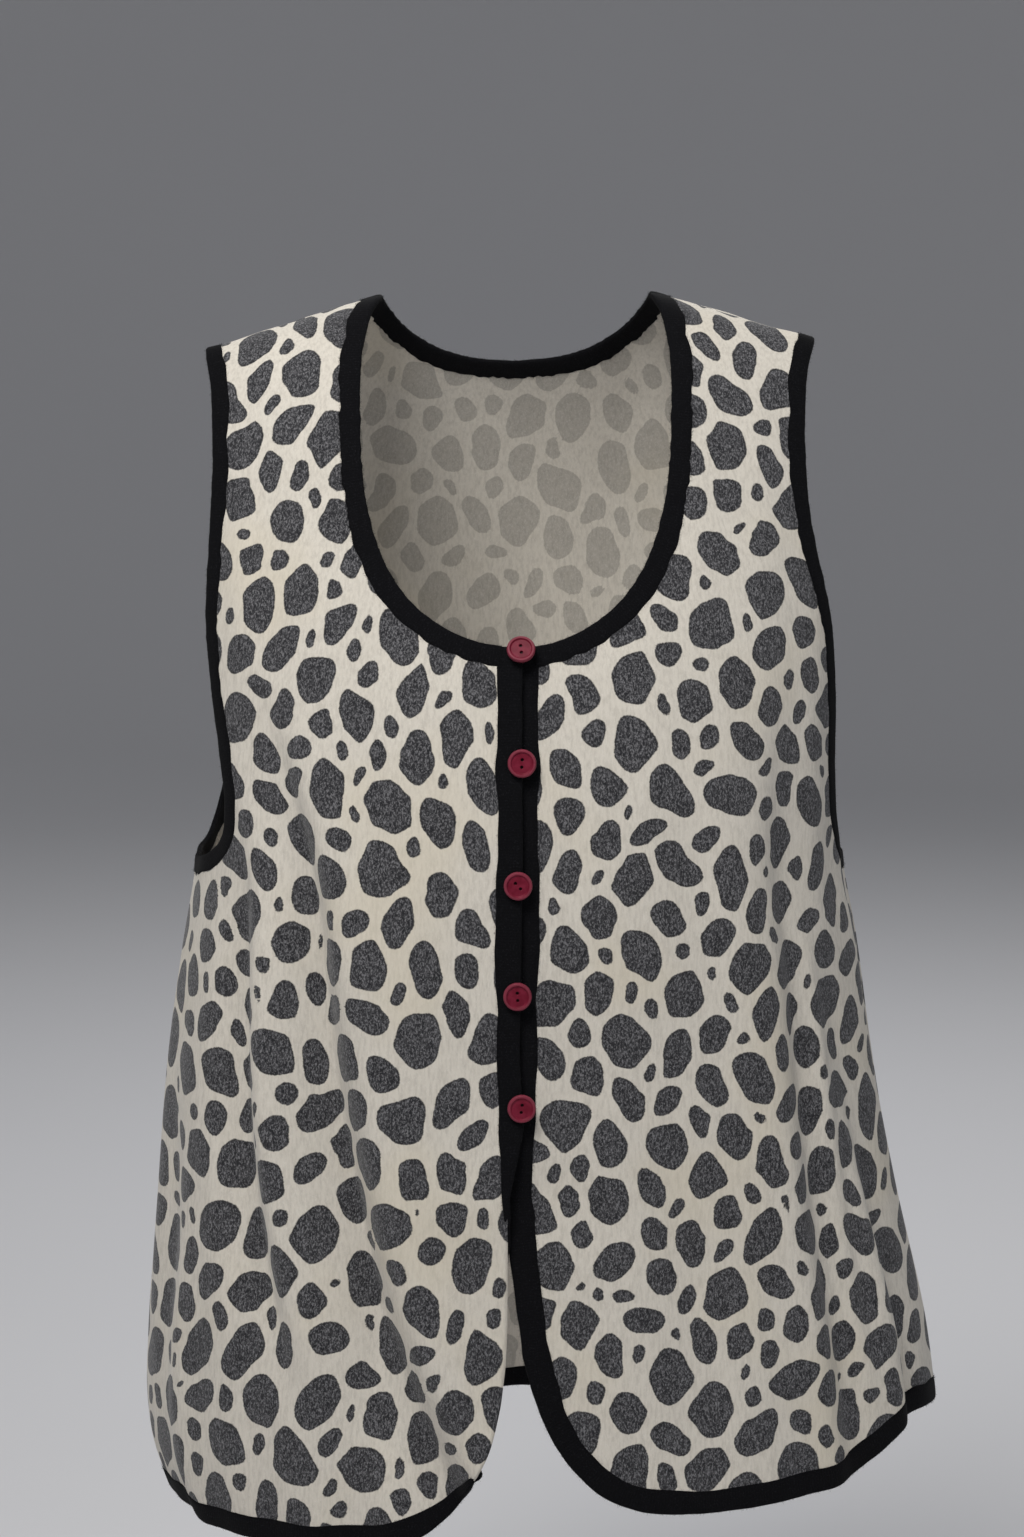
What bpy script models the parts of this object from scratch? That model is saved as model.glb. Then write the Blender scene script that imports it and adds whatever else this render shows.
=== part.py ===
"""Knit vest, worn: hollow shell of felted cloth, open at neck, armholes and hem.

Frame: metres, +Z up, the front faces -Y and the wearer's left is +X.  The
origin lies midway between the two shoulder neck points.  Every piece is
worked out on one body surface.  "turn" is the angle round the body, 0 at
centre front, +90 degrees at the wearer's left side and 180 at centre back.
"reach" is the length down the cloth from the shoulder line, and "drop" is
the height below it.
"""
import functools
import math

import bpy
import mathutils
import numpy as np

# ---- driving sizes, metres -------------------------------------------------
WALL = 0.0020             # felted knit cloth
SEAM = 0.0003             # gap between two pieces that are sewn together
TAPE_THICK = 0.0034       # binding: folded strip over the cloth's edge
NECK_TAPE = 0.0105        # binding widths as they show
ARM_TAPE = 0.0090
FRONT_TAPE = 0.0153
HEM_TAPE = 0.0130
HEM_TAPE_FROM = (0.03, 0.10)   # it narrows between these distances from centre
LAP = 0.0042              # the fastened fronts lie this far apart, one over the other
LAP_REACH = 0.055         # how far from centre front the lap dies away
LAP_SPREAD = 0.9          # share the lap grows where the upper binding rolls under
LAP_SPREAD_AT = 0.482     # drop of that place, and how far it reaches
LAP_SPREAD_REACH = 0.022
ROLL = 0.030              # radius of the cloth's roll over the shoulder
SHOULDER_TOP = 0.0055     # shoulder line near the neck
SHOULDER_TILT = 0.012     # the wearer's left shoulder is a little higher
SHOULDER_NECK = 0.070     # the slope starts this far from centre
SHOULDER_SLOPE = 0.305    # how fast it falls, and how softly it starts
SHOULDER_SOFT = 0.012
SHOULDER_FADE = (0.03, 0.30)   # drops between which the slope dies away
FULLNESS = 0.09           # how much squarer than an ellipse each section is
BUTTON_R = 0.0077
BUTTON_THICK = 0.0026
BUTTON_HOLE_R = 0.0009
BUTTON_HOLE_PITCH = 0.0040
BUTTON_DISH = 0.0008      # the face inside the rim lies this much lower
BUTTON_SIDES = 22
HOLE_SIDES = 8
UNDERARM = 0.310          # drops of the underarm and of the hem's rim
HEM_SIDE_RIGHT = 0.679
HEM_SIDE_LEFT = 0.629
HEM_BACK = 0.668

# Body sections: half widths to the wearer's right and left, depths to the
# front and back, at each drop below the shoulder line.
BODY = (
    # drop, right, left, front, back
    (0.000, 0.2000, 0.1920, 0.0000, 0.0000),
    (0.005, 0.1995, 0.1918, 0.0172, 0.0172),
    (0.012, 0.1990, 0.1915, 0.0262, 0.0275),
    (0.030, 0.1975, 0.1905, 0.0415, 0.0460),
    (0.060, 0.1955, 0.1892, 0.0580, 0.0655),
    (0.100, 0.1930, 0.1880, 0.0745, 0.0835),
    (0.150, 0.1895, 0.1868, 0.0935, 0.0980),
    (0.200, 0.1850, 0.1852, 0.1095, 0.1070),
    (0.260, 0.1805, 0.1828, 0.1215, 0.1120),
    (0.310, 0.1800, 0.1835, 0.1260, 0.1130),
    (0.360, 0.1880, 0.1920, 0.1275, 0.1140),
    (0.420, 0.1965, 0.2005, 0.1280, 0.1165),
    (0.500, 0.2030, 0.2150, 0.1300, 0.1230),
    (0.590, 0.2095, 0.2340, 0.1350, 0.1320),
    (0.625, 0.2100, 0.2385, 0.1372, 0.1355),
    (0.650, 0.2070, 0.2400, 0.1390, 0.1380),
    (0.685, 0.1950, 0.2400, 0.1415, 0.1405),
)

# Edges of the bindings, as the distance from centre at each drop.
NECK_FRONT = (
    # drop, out
    (0.0000, 0.0745), (0.0120, 0.0812), (0.0300, 0.0843), (0.0600, 0.0848),
    (0.0900, 0.0833), (0.1120, 0.0800), (0.1320, 0.0740), (0.1500, 0.0650),
    (0.1625, 0.0545), (0.1740, 0.0385), (0.1810, 0.0215), (0.1838, 0.0040),
)
NECK_BACK = (
    (0.0000, 0.0745), (0.0090, 0.0705), (0.0210, 0.0615), (0.0330, 0.0440),
    (0.0400, 0.0230), (0.0420, 0.0000),
)
ARM_FRONT_RIGHT = (
    (0.0000, 0.1725), (0.0250, 0.1680), (0.0600, 0.1668), (0.1200, 0.1690),
    (0.1650, 0.1700), (0.2050, 0.1668), (0.2450, 0.1615), (0.2720, 0.1590),
    (0.2900, 0.1612), (0.3020, 0.1685), (0.3080, 0.1757),
)
ARM_FRONT_LEFT = (
    (0.0000, 0.1660), (0.0250, 0.1600), (0.0600, 0.1590), (0.0900, 0.1605),
    (0.1150, 0.1640), (0.1400, 0.1695), (0.1650, 0.1740), (0.1900, 0.1758),
    (0.2200, 0.1768), (0.2600, 0.1765), (0.2880, 0.1778), (0.3030, 0.1808),
)
ARM_BACK_RIGHT = (
    (0.0000, 0.1725), (0.0300, 0.1660), (0.0800, 0.1620), (0.1400, 0.1600),
    (0.1900, 0.1610), (0.2400, 0.1640), (0.2750, 0.1670), (0.2950, 0.1710),
    (0.3060, 0.1765),
)
ARM_BACK_LEFT = (
    (0.0000, 0.1660), (0.0300, 0.1600), (0.0800, 0.1575), (0.1400, 0.1570),
    (0.1900, 0.1595), (0.2400, 0.1635), (0.2750, 0.1675), (0.2950, 0.1725),
    (0.3060, 0.1790),
)
# Front edge, rounded corner and hem: x and z of the binding's outer rim.
FRONT_RIM_RIGHT = (
    (0.0035, -0.1820), (0.0035, -0.3000), (0.0035, -0.4300), (0.0060, -0.4600),
    (0.0080, -0.4900), (0.0083, -0.5400), (0.0066, -0.5750), (0.0025, -0.6020),
    (-0.0045, -0.6250), (-0.0150, -0.6430), (-0.0290, -0.6570),
    (-0.0460, -0.6675), (-0.0680, -0.6745), (-0.1000, -0.6785),
    (-0.1400, -0.6795), (-0.1780, -0.6790),
)
FRONT_RIM_LEFT = (
    (-0.0050, -0.1820), (-0.0050, -0.3000), (-0.0060, -0.4430),
    (-0.0058, -0.4860), (-0.0035, -0.5120), (0.0000, -0.5380),
    (0.0050, -0.5720), (0.0110, -0.5930), (0.0195, -0.6130),
    (0.0325, -0.6315), (0.0475, -0.6450), (0.0650, -0.6535),
    (0.0900, -0.6570), (0.1250, -0.6565), (0.1550, -0.6530),
    (0.1850, -0.6480), (0.2010, -0.6400), (0.2130, -0.6300),
    (0.2270, -0.6250),
)
# Below the last button the right front's binding is rolled inside the cloth.
ROLLED = (
    # height, turned under, width left
    (-0.4400, 0.0, 1.00), (-0.4660, 0.0, 0.20), (-0.4900, 0.7, 0.20),
    (-0.5050, 1.0, 0.45), (-0.5400, 1.0, 1.00), (-0.6080, 1.0, 1.00),
    (-0.6740, 0.0, 1.00),
)
ROLLED_STEPS = (-0.440, -0.452, -0.466, -0.474, -0.480, -0.485, -0.490, -0.497,
                -0.505, -0.520, -0.540, -0.616, -0.630, -0.642, -0.652, -0.661)
ROLL_TURN = math.radians(150.0)
ROLL_TUCK = 0.0035

# Folds: a soft trough down the cloth, deeper toward the hem.  The turns say
# where it lies at its top and bottom drop, in degrees round the body.
FOLDS = (
    # top drop, bottom drop, top turn, bottom turn, half width, depth
    (0.270, 0.560, -57.0, -41.0, 0.0160, 0.0080),
    (0.230, 0.640, -43.0, -15.0, 0.0160, 0.0095),
    (0.380, 0.620, -30.0, -9.0, 0.0150, 0.0045),
    (0.250, 0.700, 50.0, 50.0, 0.0190, 0.0100),
    (0.330, 0.700, 64.0, 66.0, 0.0200, 0.0070),
    (0.420, 0.700, -70.0, -68.0, 0.0220, 0.0060),
    (0.300, 0.700, 122.0, 128.0, 0.0220, 0.0110),
    (0.360, 0.700, 152.0, 155.0, 0.0210, 0.0080),
    (0.330, 0.700, 203.0, 201.0, 0.0210, 0.0090),
    (0.290, 0.700, 236.0, 230.0, 0.0220, 0.0110),
)

# Five buttons on the upper binding: x and z of each centre, and the turn of
# its two holes from upright.
BUTTONS = (
    (0.0027, -0.1840, 6.0), (0.0032, -0.2429, -4.0), (0.0011, -0.3077, 42.0),
    (0.0008, -0.3675, 3.0), (0.0030, -0.4290, -8.0),
)
TOP_BUTTON_TIP = math.radians(17.0)   # the top button tips, and stands off this much
TOP_BUTTON_LIFT = 0.00075

RIGHT, LEFT = -1, 1        # the wearer's sides, as the sign of x

# Grids: a front's rows run from its rounded corner and side seam up to the
# shoulder.  The marks are shares of the way at which its outer edge passes
# the underarm, the armhole's low corner and its bends, and its inner edge
# the neck join and the bend of the neck.
FRONT_MARKS = (0.0, 0.40, 0.50, 0.70, 0.80, 0.91, 1.0)
FRONT_ROWS = (10, 3, 5, 4, 3, 5)
FRONT_COLUMNS = 17
BACK_MARKS = (0.0, 0.42, 0.53, 1.0)
BACK_ROWS = (11, 3, 13)
ROLL_REACH = 0.060        # above this reach the cloth rolls over the shoulder
BACK_TOP = (8, 14)        # columns along each shoulder, and along the neck
BACK_SAG = 0.060          # rows hang this much lower at centre back
ARM_CORNER = {RIGHT: 0.275, LEFT: 0.290}   # drop of the armhole's low corner
BACK_ARM_CORNER = 0.285
INNER_DROPS = (0.430, 0.355)   # drops of a front's second and third marks
OUTER_DROPS = (0.205, 0.125)   # and of its fourth and fifth at the armhole
SEAM_POINTS = 60          # points along a side seam
CORNER_TOP = -0.58        # the front corners' rounding starts below this
NECK_BEND = 0.075         # length of the neck's flat bottom on each side


# ---- the body surface --------------------------------------------------------
def smooth(at, xs, ys):
    """A smooth curve through the points xs, ys, read at the places in at.
    Before the first point it goes straight on, so the surface carries on
    over the shoulder line to its other side."""
    xs, ys = np.asarray(xs, float), np.asarray(ys, float)
    slope = np.gradient(ys, xs)
    inside = np.clip(at, xs[0], xs[-1])
    k = np.clip(np.searchsorted(xs, inside, side="right") - 1, 0, len(xs) - 2)
    step = xs[k + 1] - xs[k]
    t = (inside - xs[k]) / step
    curve = ((2 * t**3 - 3 * t**2 + 1) * ys[k] + (t**3 - 2 * t**2 + t) * step * slope[k]
             + (3 * t**2 - 2 * t**3) * ys[k + 1] + (t**3 - t**2) * step * slope[k + 1])
    return curve + np.minimum(at - xs[0], 0.0) * slope[0]


def fade(at, low, high):
    """0 below low, 1 above high, a soft step between."""
    t = np.clip((at - low) / (high - low), 0.0, 1.0)
    return t * t * (3 - 2 * t)


def reach_of(drop):
    """Length down the cloth for a drop below the shoulder line."""
    return np.sqrt(drop**2 + 2 * ROLL * drop)


def drop_of(reach):
    """Drop below the shoulder line for a length down the cloth."""
    return np.sqrt(reach**2 + ROLL**2) - ROLL


BODY_COLUMNS = np.array(BODY).T
BODY_REACH = reach_of(BODY_COLUMNS[0])


def body_size(reach, column):
    """One column of BODY at a reach: 1 right, 2 left, 3 front, 4 back."""
    return smooth(reach, BODY_REACH, BODY_COLUMNS[column])


def shoulder_line(x):
    """Height of the shoulder line at a distance from centre."""
    past = np.abs(x) - SHOULDER_NECK
    fall = SHOULDER_SLOPE * (np.sqrt(past**2 + SHOULDER_SOFT**2) + past) / 2
    return SHOULDER_TOP + SHOULDER_TILT * x - fall


def shoulder_hold(drop):
    """How much of the shoulder line's slope is left at a drop."""
    return 1.0 - fade(drop, *SHOULDER_FADE)


def bare_body(turn, reach):
    """The body surface with no folds.  Each section is a slightly squared
    ellipse: its radius grows by FULLNESS halfway between the axes."""
    sine, cosine = np.sin(turn), np.cos(turn)
    half = np.where(sine < 0, body_size(reach, 1), body_size(reach, 2))
    depth = np.where(cosine > 0, body_size(reach, 3), body_size(reach, 4))
    x = half * sine * (1 + FULLNESS * cosine**2)
    y = -depth * cosine * (1 + FULLNESS * sine**2)
    drop = drop_of(reach)
    z = shoulder_line(x) * shoulder_hold(drop) - drop
    return np.stack([x, y, z], axis=-1)


def slopes(surface, turn, reach):
    """How the surface moves per unit of turn and of reach."""
    d = 1e-4
    by_turn = (surface(turn + d, reach) - surface(turn - d, reach)) / (2 * d)
    by_reach = (surface(turn, reach + d) - surface(turn, reach - d)) / (2 * d)
    return by_turn, by_reach


def outward(surface, turn, reach):
    """Unit normal of the surface, away from the body."""
    by_turn, by_reach = slopes(surface, turn, reach)
    normal = np.cross(by_reach, by_turn)
    return normal / np.linalg.norm(normal, axis=-1, keepdims=True)


def fold_depth(turn, reach):
    """How far the cloth moves out (or in) for all the folds at a place."""
    drop = drop_of(reach)
    half = np.where(np.sin(turn) < 0, body_size(reach, 1), body_size(reach, 2))
    degrees = np.degrees(turn)
    total = np.zeros(np.broadcast(turn, reach).shape)
    for top, bottom, top_turn, bottom_turn, wide, deep in FOLDS:
        along = (drop - top) / (bottom - top)
        middle = top_turn + (bottom_turn - top_turn) * along
        away = (degrees - middle + 180.0) % 360.0 - 180.0
        across = np.radians(away) * half * 0.85 / wide
        strength = fade(along, -0.05, 0.55)
        total += strength * deep * (0.45 * np.exp(-(across / 2.4) ** 2) - np.exp(-across**2))
    return total


def body(turn, reach, lap=0.0):
    """Middle of the cloth.  lap is +1 on the upper front, -1 on the lower."""
    turn, reach = np.asarray(turn, float), np.asarray(reach, float)
    place = bare_body(turn, reach)
    at_front = np.exp(-(place[..., 0] / LAP_REACH) ** 2) * (np.cos(turn) > 0)
    spread = np.exp(-((drop_of(reach) - LAP_SPREAD_AT) / LAP_SPREAD_REACH) ** 2)
    move = fold_depth(turn, reach) + lap * LAP / 2 * at_front * (1 + LAP_SPREAD * spread)
    return place + outward(bare_body, turn, reach) * move[..., None]


def lapped(lap):
    """The body surface of one panel, as a function of turn and reach."""
    return lambda turn, reach: body(turn, reach, lap)


# ---- from sizes to places on the surface ---------------------------------------
QUARTER = np.linspace(0.0, math.pi / 2, 200)


def turn_at(out, side, reach, back=False):
    """The turn at which a section is out from centre, on one side."""
    half = body_size(reach, 1 if side == RIGHT else 2)
    share = np.sin(QUARTER) * (1 + FULLNESS * np.cos(QUARTER) ** 2)
    turn = float(np.interp(out / half, share, QUARTER))
    return side * (math.pi - turn if back else turn)


def through(points, count=600):
    """A smooth curve through (turn, reach) points, evenly spaced along it."""
    points = np.asarray(points, float)
    scale = np.array([0.18, 1.0])
    length = np.concatenate([[0], np.cumsum(np.linalg.norm(np.diff(points * scale, axis=0), axis=1))])
    at = np.linspace(0, length[-1], count)
    return np.stack([smooth(at, length, points[:, 0]), smooth(at, length, points[:, 1])], axis=-1)


def edge_from_drops(rows, side, back=False):
    """Points of a neck or armhole edge, from (drop, out) rows.  One more
    mirrors the second row over the shoulder line, so the edge crosses it
    squarely."""
    points = []
    for drop, out in rows:
        reach = float(reach_of(drop))
        points.append((turn_at(out, side, reach, back), reach))
    return [(points[1][0], -points[1][1])] + points


def arm_rim(rows, side, back=False):
    """An armhole's edge down to the underarm, and a little past the side seam."""
    past = side * (SIDE - PAST_SEAM if back else SIDE + PAST_SEAM)
    ends = [(side * SIDE, UNDERARM_REACH), (past, UNDERARM_REACH)]
    return through(edge_from_drops(rows, side, back) + ends)


def front_rim(rows, side, hem_reach):
    """A front's edge and hem, from (x, z) rows, and a little past the side seam."""
    points = []
    for x, z in rows:
        drop = -z
        for _ in range(6):
            drop = float(shoulder_line(x) * shoulder_hold(drop)) - z
        reach = float(reach_of(drop))
        points.append((turn_at(abs(x), RIGHT if x < 0 else LEFT, reach), reach))
    ends = [(side * SIDE, hem_reach), (side * (SIDE + PAST_SEAM), hem_reach)]
    return through(points + ends)


def inset(edge, width, lap, side):
    """The edge moved by width along the cloth.  side +1 moves it to the
    left of its own direction, seen from outside the body."""
    surface = lapped(lap)
    turn, reach = edge[:, 0].copy(), edge[:, 1].copy()
    along = np.gradient(surface(turn, reach), axis=0)
    along /= np.linalg.norm(along, axis=-1, keepdims=True)
    width = np.broadcast_to(width, turn.shape)
    steps = 4
    for _ in range(steps):
        by_turn, by_reach = slopes(surface, turn, reach)
        across = side * np.cross(outward(surface, turn, reach), along)
        tt = np.sum(by_turn * by_turn, axis=-1)
        rr = np.sum(by_reach * by_reach, axis=-1)
        tr = np.sum(by_turn * by_reach, axis=-1)
        at, ar = np.sum(across * by_turn, axis=-1), np.sum(across * by_reach, axis=-1)
        spread = tt * rr - tr * tr
        turn += width / steps * (at * rr - ar * tr) / spread
        reach += width / steps * (ar * tt - at * tr) / spread
    return np.stack([turn, reach], axis=-1)


def crossing(curve, column, value):
    """Fractional place along the curve where a coordinate first crosses a value."""
    past = np.sign(curve[:, column] - value)
    k = int(np.nonzero(past[1:] != past[0])[0][0])
    return k + (value - curve[k, column]) / (curve[k + 1, column] - curve[k, column])


def place_at(curve, at):
    """The curve's row at a fractional place."""
    return np.array([np.interp(at, np.arange(len(curve)), column) for column in curve.T])


def between(curve, first, last):
    """The curve between two fractional places."""
    whole = curve[int(first) + 1:int(np.ceil(last))]
    return np.vstack([place_at(curve, first), whole, place_at(curve, last)])


def length_along(curve, surface):
    """Length from the curve's start to each of its points."""
    steps = np.linalg.norm(np.diff(surface(curve[:, 0], curve[:, 1]), axis=0), axis=1)
    return np.concatenate([[0], np.cumsum(steps)])


def at_lengths(curve, lengths, wanted):
    """Rows of the curve at the wanted lengths."""
    return np.stack([np.interp(wanted, lengths, column) for column in curve.T], axis=-1)


def cut_line(rim, width, lap, side):
    """Where the cloth is cut beside a binding: turn, reach and place on the rim."""
    moved = inset(rim, width + SEAM, lap, side)
    return np.column_stack([moved, np.arange(len(rim))])


# ---- the edges of the garment ----------------------------------------------------
SIDE = math.pi / 2
SEAM_TURN = SEAM / 2 / BODY[9][1]
PAST_SEAM = 0.08          # rims run this turn past a side seam, then are cut
HEM_RIGHT_REACH = float(reach_of(HEM_SIDE_RIGHT))
HEM_LEFT_REACH = float(reach_of(HEM_SIDE_LEFT))
UNDERARM_REACH = float(reach_of(UNDERARM))
LAPS = {RIGHT: 1.0, LEFT: -1.0}
FRONT_RIM = {
    RIGHT: front_rim(FRONT_RIM_RIGHT, RIGHT, HEM_RIGHT_REACH),
    LEFT: front_rim(FRONT_RIM_LEFT, LEFT, HEM_LEFT_REACH),
}
NECK_RIM = {side: through(edge_from_drops(NECK_FRONT, side)) for side in (RIGHT, LEFT)}
NECK_BACK_RIM = {side: through(edge_from_drops(NECK_BACK, side, back=True)) for side in (RIGHT, LEFT)}
ARM_RIM = {RIGHT: arm_rim(ARM_FRONT_RIGHT, RIGHT), LEFT: arm_rim(ARM_FRONT_LEFT, LEFT)}
ARM_BACK_RIM = {RIGHT: arm_rim(ARM_BACK_RIGHT, RIGHT, True), LEFT: arm_rim(ARM_BACK_LEFT, LEFT, True)}


def hem_back_rim():
    """The back's hem, from the left side seam round to the right one."""
    turn = np.linspace(SIDE - PAST_SEAM, 1.5 * math.pi + PAST_SEAM, 600)
    share = np.clip((turn - SIDE) / math.pi, 0.0, 1.0)
    drop = (HEM_SIDE_LEFT * (1 - share) + HEM_SIDE_RIGHT * share
            + (HEM_BACK - (HEM_SIDE_LEFT + HEM_SIDE_RIGHT) / 2) * np.sin(math.pi * share))
    return np.stack([turn, reach_of(drop)], axis=-1)


def tape_width(rim, surface):
    """Binding width along a front edge: wide at the front, narrower at the hem."""
    x = np.abs(surface(rim[:, 0], rim[:, 1])[:, 0])
    return FRONT_TAPE + (HEM_TAPE - FRONT_TAPE) * fade(x, *HEM_TAPE_FROM)


# ---- panels ------------------------------------------------------------------------
def blend(bottom, top, left, right, s, t, sag):
    """Fill four edges: each inner point blends the edges it lies between.
    sag lets the rows hang lower in the middle, most at the underarm."""
    bottom, top, left, right = (edge[:, :2] for edge in (bottom, top, left, right))
    s, t = s[None, :, None], t[:, None, None]
    grid = ((1 - s) * left[:, None] + s * right[:, None]
            + (1 - t) * bottom[None] + t * top[None]
            - (1 - s) * (1 - t) * bottom[0] - s * (1 - t) * bottom[-1]
            - (1 - s) * t * top[0] - s * t * top[-1])
    grid[..., 1] += sag * np.sin(math.pi * s[..., 0]) * np.sin(math.pi * t[..., 0] ** 0.8) ** 2
    return grid


def spaced(marks, counts):
    """Rows between marks, each stretch evenly split into its own count."""
    stretches = [np.linspace(a, b, n, endpoint=False) for a, b, n in zip(marks, marks[1:], counts)]
    return np.concatenate(stretches + [[marks[-1]]])


def length_at(curve, lengths, column, value):
    """Length along the curve at which a coordinate first crosses a value."""
    return float(np.interp(crossing(curve, column, value), np.arange(len(curve)), lengths))


@functools.lru_cache(maxsize=None)
def front_layout(side):
    """A front's grid of places, and its places along each binding's rim."""
    lap = LAPS[side]
    surface = lapped(lap)
    rim = FRONT_RIM[side]
    edge = cut_line(rim, tape_width(rim, surface), lap, side)
    neck = cut_line(NECK_RIM[side], NECK_TAPE, lap, side)
    arm = cut_line(ARM_RIM[side], ARM_TAPE, lap, -side)
    seam_turn = side * (SIDE - SEAM_TURN)
    arm = between(arm, crossing(arm, 1, SEAM / 2), crossing(arm, 0, seam_turn))
    # the neck's cut line stops where it meets the front edge's
    front_x = surface(edge[20, 0], edge[20, 1])[0]
    neck_places = surface(neck[:, 0], neck[:, 1])
    neck = between(neck, crossing(neck, 1, SEAM / 2), crossing(neck_places, 0, front_x))
    edge = between(edge, crossing(edge, 1, neck[-1, 1]), crossing(edge, 0, seam_turn))
    edge[0, :2] = neck[-1, :2]
    # the grid's corner is where the rounded front edge slopes at 45 degrees
    places = surface(edge[:, 0], edge[:, 1])
    run = np.abs(np.gradient(places, axis=0))
    corner = int(np.argmax((run[:, 0] > run[:, 2]) & (places[:, 2] < CORNER_TOP)))
    bottom = edge[corner:]
    inner = np.vstack([edge[corner::-1], neck[-2::-1]])
    seam = np.linspace(edge[-1], arm[-1], SEAM_POINTS)
    outer = np.vstack([seam, arm[-2::-1]])
    inner_len, outer_len = length_along(inner, surface), length_along(outer, surface)
    bottom_len = length_along(bottom, surface)
    join = inner_len[corner]
    inner_at = [length_at(inner, inner_len, 1, float(reach_of(drop))) for drop in INNER_DROPS]
    inner_marks = (0.0, *inner_at, join, join + NECK_BEND,
                   length_at(inner, inner_len, 1, ROLL_REACH), inner_len[-1])
    under = SEAM_POINTS - 1
    outer_at = [length_at(outer[under:], outer_len[under:], 1, float(reach_of(drop)))
                for drop in (ARM_CORNER[side], *OUTER_DROPS)]
    outer_marks = (0.0, outer_len[under], *outer_at,
                   length_at(outer, outer_len, 1, ROLL_REACH), outer_len[-1])
    t = spaced(FRONT_MARKS, FRONT_ROWS)
    s = np.linspace(0, 1, FRONT_COLUMNS + 1)
    left = at_lengths(inner, inner_len, np.interp(t, FRONT_MARKS, inner_marks))
    right = at_lengths(outer, outer_len, np.interp(t, FRONT_MARKS, outer_marks))
    low = at_lengths(bottom, bottom_len, s * bottom_len[-1])
    top_edge = left[-1] + (right[-1] - left[-1]) * s[:, None]
    grid = blend(low, top_edge, left, right, s, t, 0.0)
    join_row, arm_row = sum(FRONT_ROWS[:3]), FRONT_ROWS[0]
    return {
        "grid": grid[:, ::-1] if side == RIGHT else grid,
        "front": np.concatenate([left[join_row::-1, 2], low[1:, 2]]),
        "neck": np.concatenate([left[:join_row:-1, 2], [neck[-1, 2]]]),
        "arm": right[:arm_row - 1:-1, 2],
    }


@functools.lru_cache(maxsize=None)
def back_layout():
    """The back's grid of places, and its places along each binding's rim."""
    surface = lapped(0.0)
    whole = 2 * math.pi
    arms, necks, ends = {}, {}, {LEFT: SIDE + SEAM_TURN, RIGHT: whole - SIDE - SEAM_TURN}
    for side in (LEFT, RIGHT):
        arm = cut_line(ARM_BACK_RIM[side], ARM_TAPE, 0.0, side)
        neck = cut_line(NECK_BACK_RIM[side], NECK_TAPE, 0.0, -side)
        if side == RIGHT:
            arm[:, 0] += whole
            neck[:, 0] += whole
        arms[side] = between(arm, crossing(arm, 1, SEAM / 2), crossing(arm, 0, ends[side]))
        necks[side] = between(neck, crossing(neck, 1, SEAM / 2), len(neck) - 1)
    hem = cut_line(hem_back_rim(), HEM_TAPE, 0.0, 1)
    hem = between(hem, crossing(hem, 0, ends[LEFT]), crossing(hem, 0, ends[RIGHT]))
    t = spaced(BACK_MARKS, BACK_ROWS)
    edges = {}
    for side, end in ((LEFT, hem[0]), (RIGHT, hem[-1])):
        arm = arms[side]
        edge = np.vstack([np.linspace(end, arm[-1], SEAM_POINTS), arm[-2::-1]])
        lengths = length_along(edge, surface)
        under = SEAM_POINTS - 1
        low = length_at(edge[under:], lengths[under:], 1, float(reach_of(BACK_ARM_CORNER)))
        marks = (0.0, lengths[under], low, lengths[-1])
        edges[side] = at_lengths(edge, lengths, np.interp(t, BACK_MARKS, marks))
    neck = np.vstack([necks[LEFT], necks[RIGHT][-2::-1]])
    stretches = ((np.vstack([edges[LEFT][-1], neck[0]]), BACK_TOP[0]), (neck, BACK_TOP[1]),
                 (np.vstack([neck[-1], edges[RIGHT][-1]]), BACK_TOP[0]))
    top = []
    for curve, count in stretches:
        lengths = length_along(curve, surface)
        top.append(at_lengths(curve, lengths, np.linspace(0, lengths[-1], count + 1))[:-1])
    neck_half = top[1][:BACK_TOP[1] // 2 + 1, 2]
    top = np.vstack(top + [edges[RIGHT][-1:]])
    hem_len = length_along(hem, surface)
    s = np.linspace(0, 1, len(top))
    low = at_lengths(hem, hem_len, s * hem_len[-1])
    grid = blend(low, top, edges[LEFT], edges[RIGHT], s, t, BACK_SAG)
    return {
        "grid": grid,
        "hem": low[1:-1, 2],
        "neck": neck_half,
        "arm": {side: edges[side][:BACK_ROWS[0] - 1:-1, 2] for side in (LEFT, RIGHT)},
    }


def wall(name, grid, surface, colour):
    """A closed wall of cloth on a grid of (turn, reach) places.  Each cell
    is split along its shorter diagonal, the same way on both faces."""
    rows, columns = grid.shape[:2]
    middle = surface(grid[..., 0], grid[..., 1])
    normal = outward(surface, grid[..., 0], grid[..., 1])
    outer = (middle + normal * WALL / 2).reshape(-1, 3)
    inner = (middle - normal * WALL / 2).reshape(-1, 3)
    index = np.arange(rows * columns).reshape(rows, columns)
    low, high = index[:-1, :-1].ravel(), index[1:, 1:].ravel()
    right, up = index[:-1, 1:].ravel(), index[1:, :-1].ravel()
    under = rows * columns
    falling = np.linalg.norm(middle[1:, 1:] - middle[:-1, :-1], axis=-1)
    rising = np.linalg.norm(middle[1:, :-1] - middle[:-1, 1:], axis=-1)
    short = (falling <= rising).ravel()[:, None]
    first = np.where(short, np.stack([low, right, high], 1), np.stack([low, right, up], 1))
    second = np.where(short, np.stack([low, high, up], 1), np.stack([right, high, up], 1))
    faces = np.vstack([first, second]).tolist()
    faces += [(a + under, c + under, b + under) for a, b, c in faces]
    loop = np.concatenate([index[0, :-1], index[:-1, -1], index[-1, :0:-1], index[:0:-1, 0]])
    for a, b in zip(loop, np.roll(loop, -1)):
        faces.append((int(b), int(a), int(a) + under, int(b) + under))
    return solid(name, np.vstack([outer, inner]), faces, colour)


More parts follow.
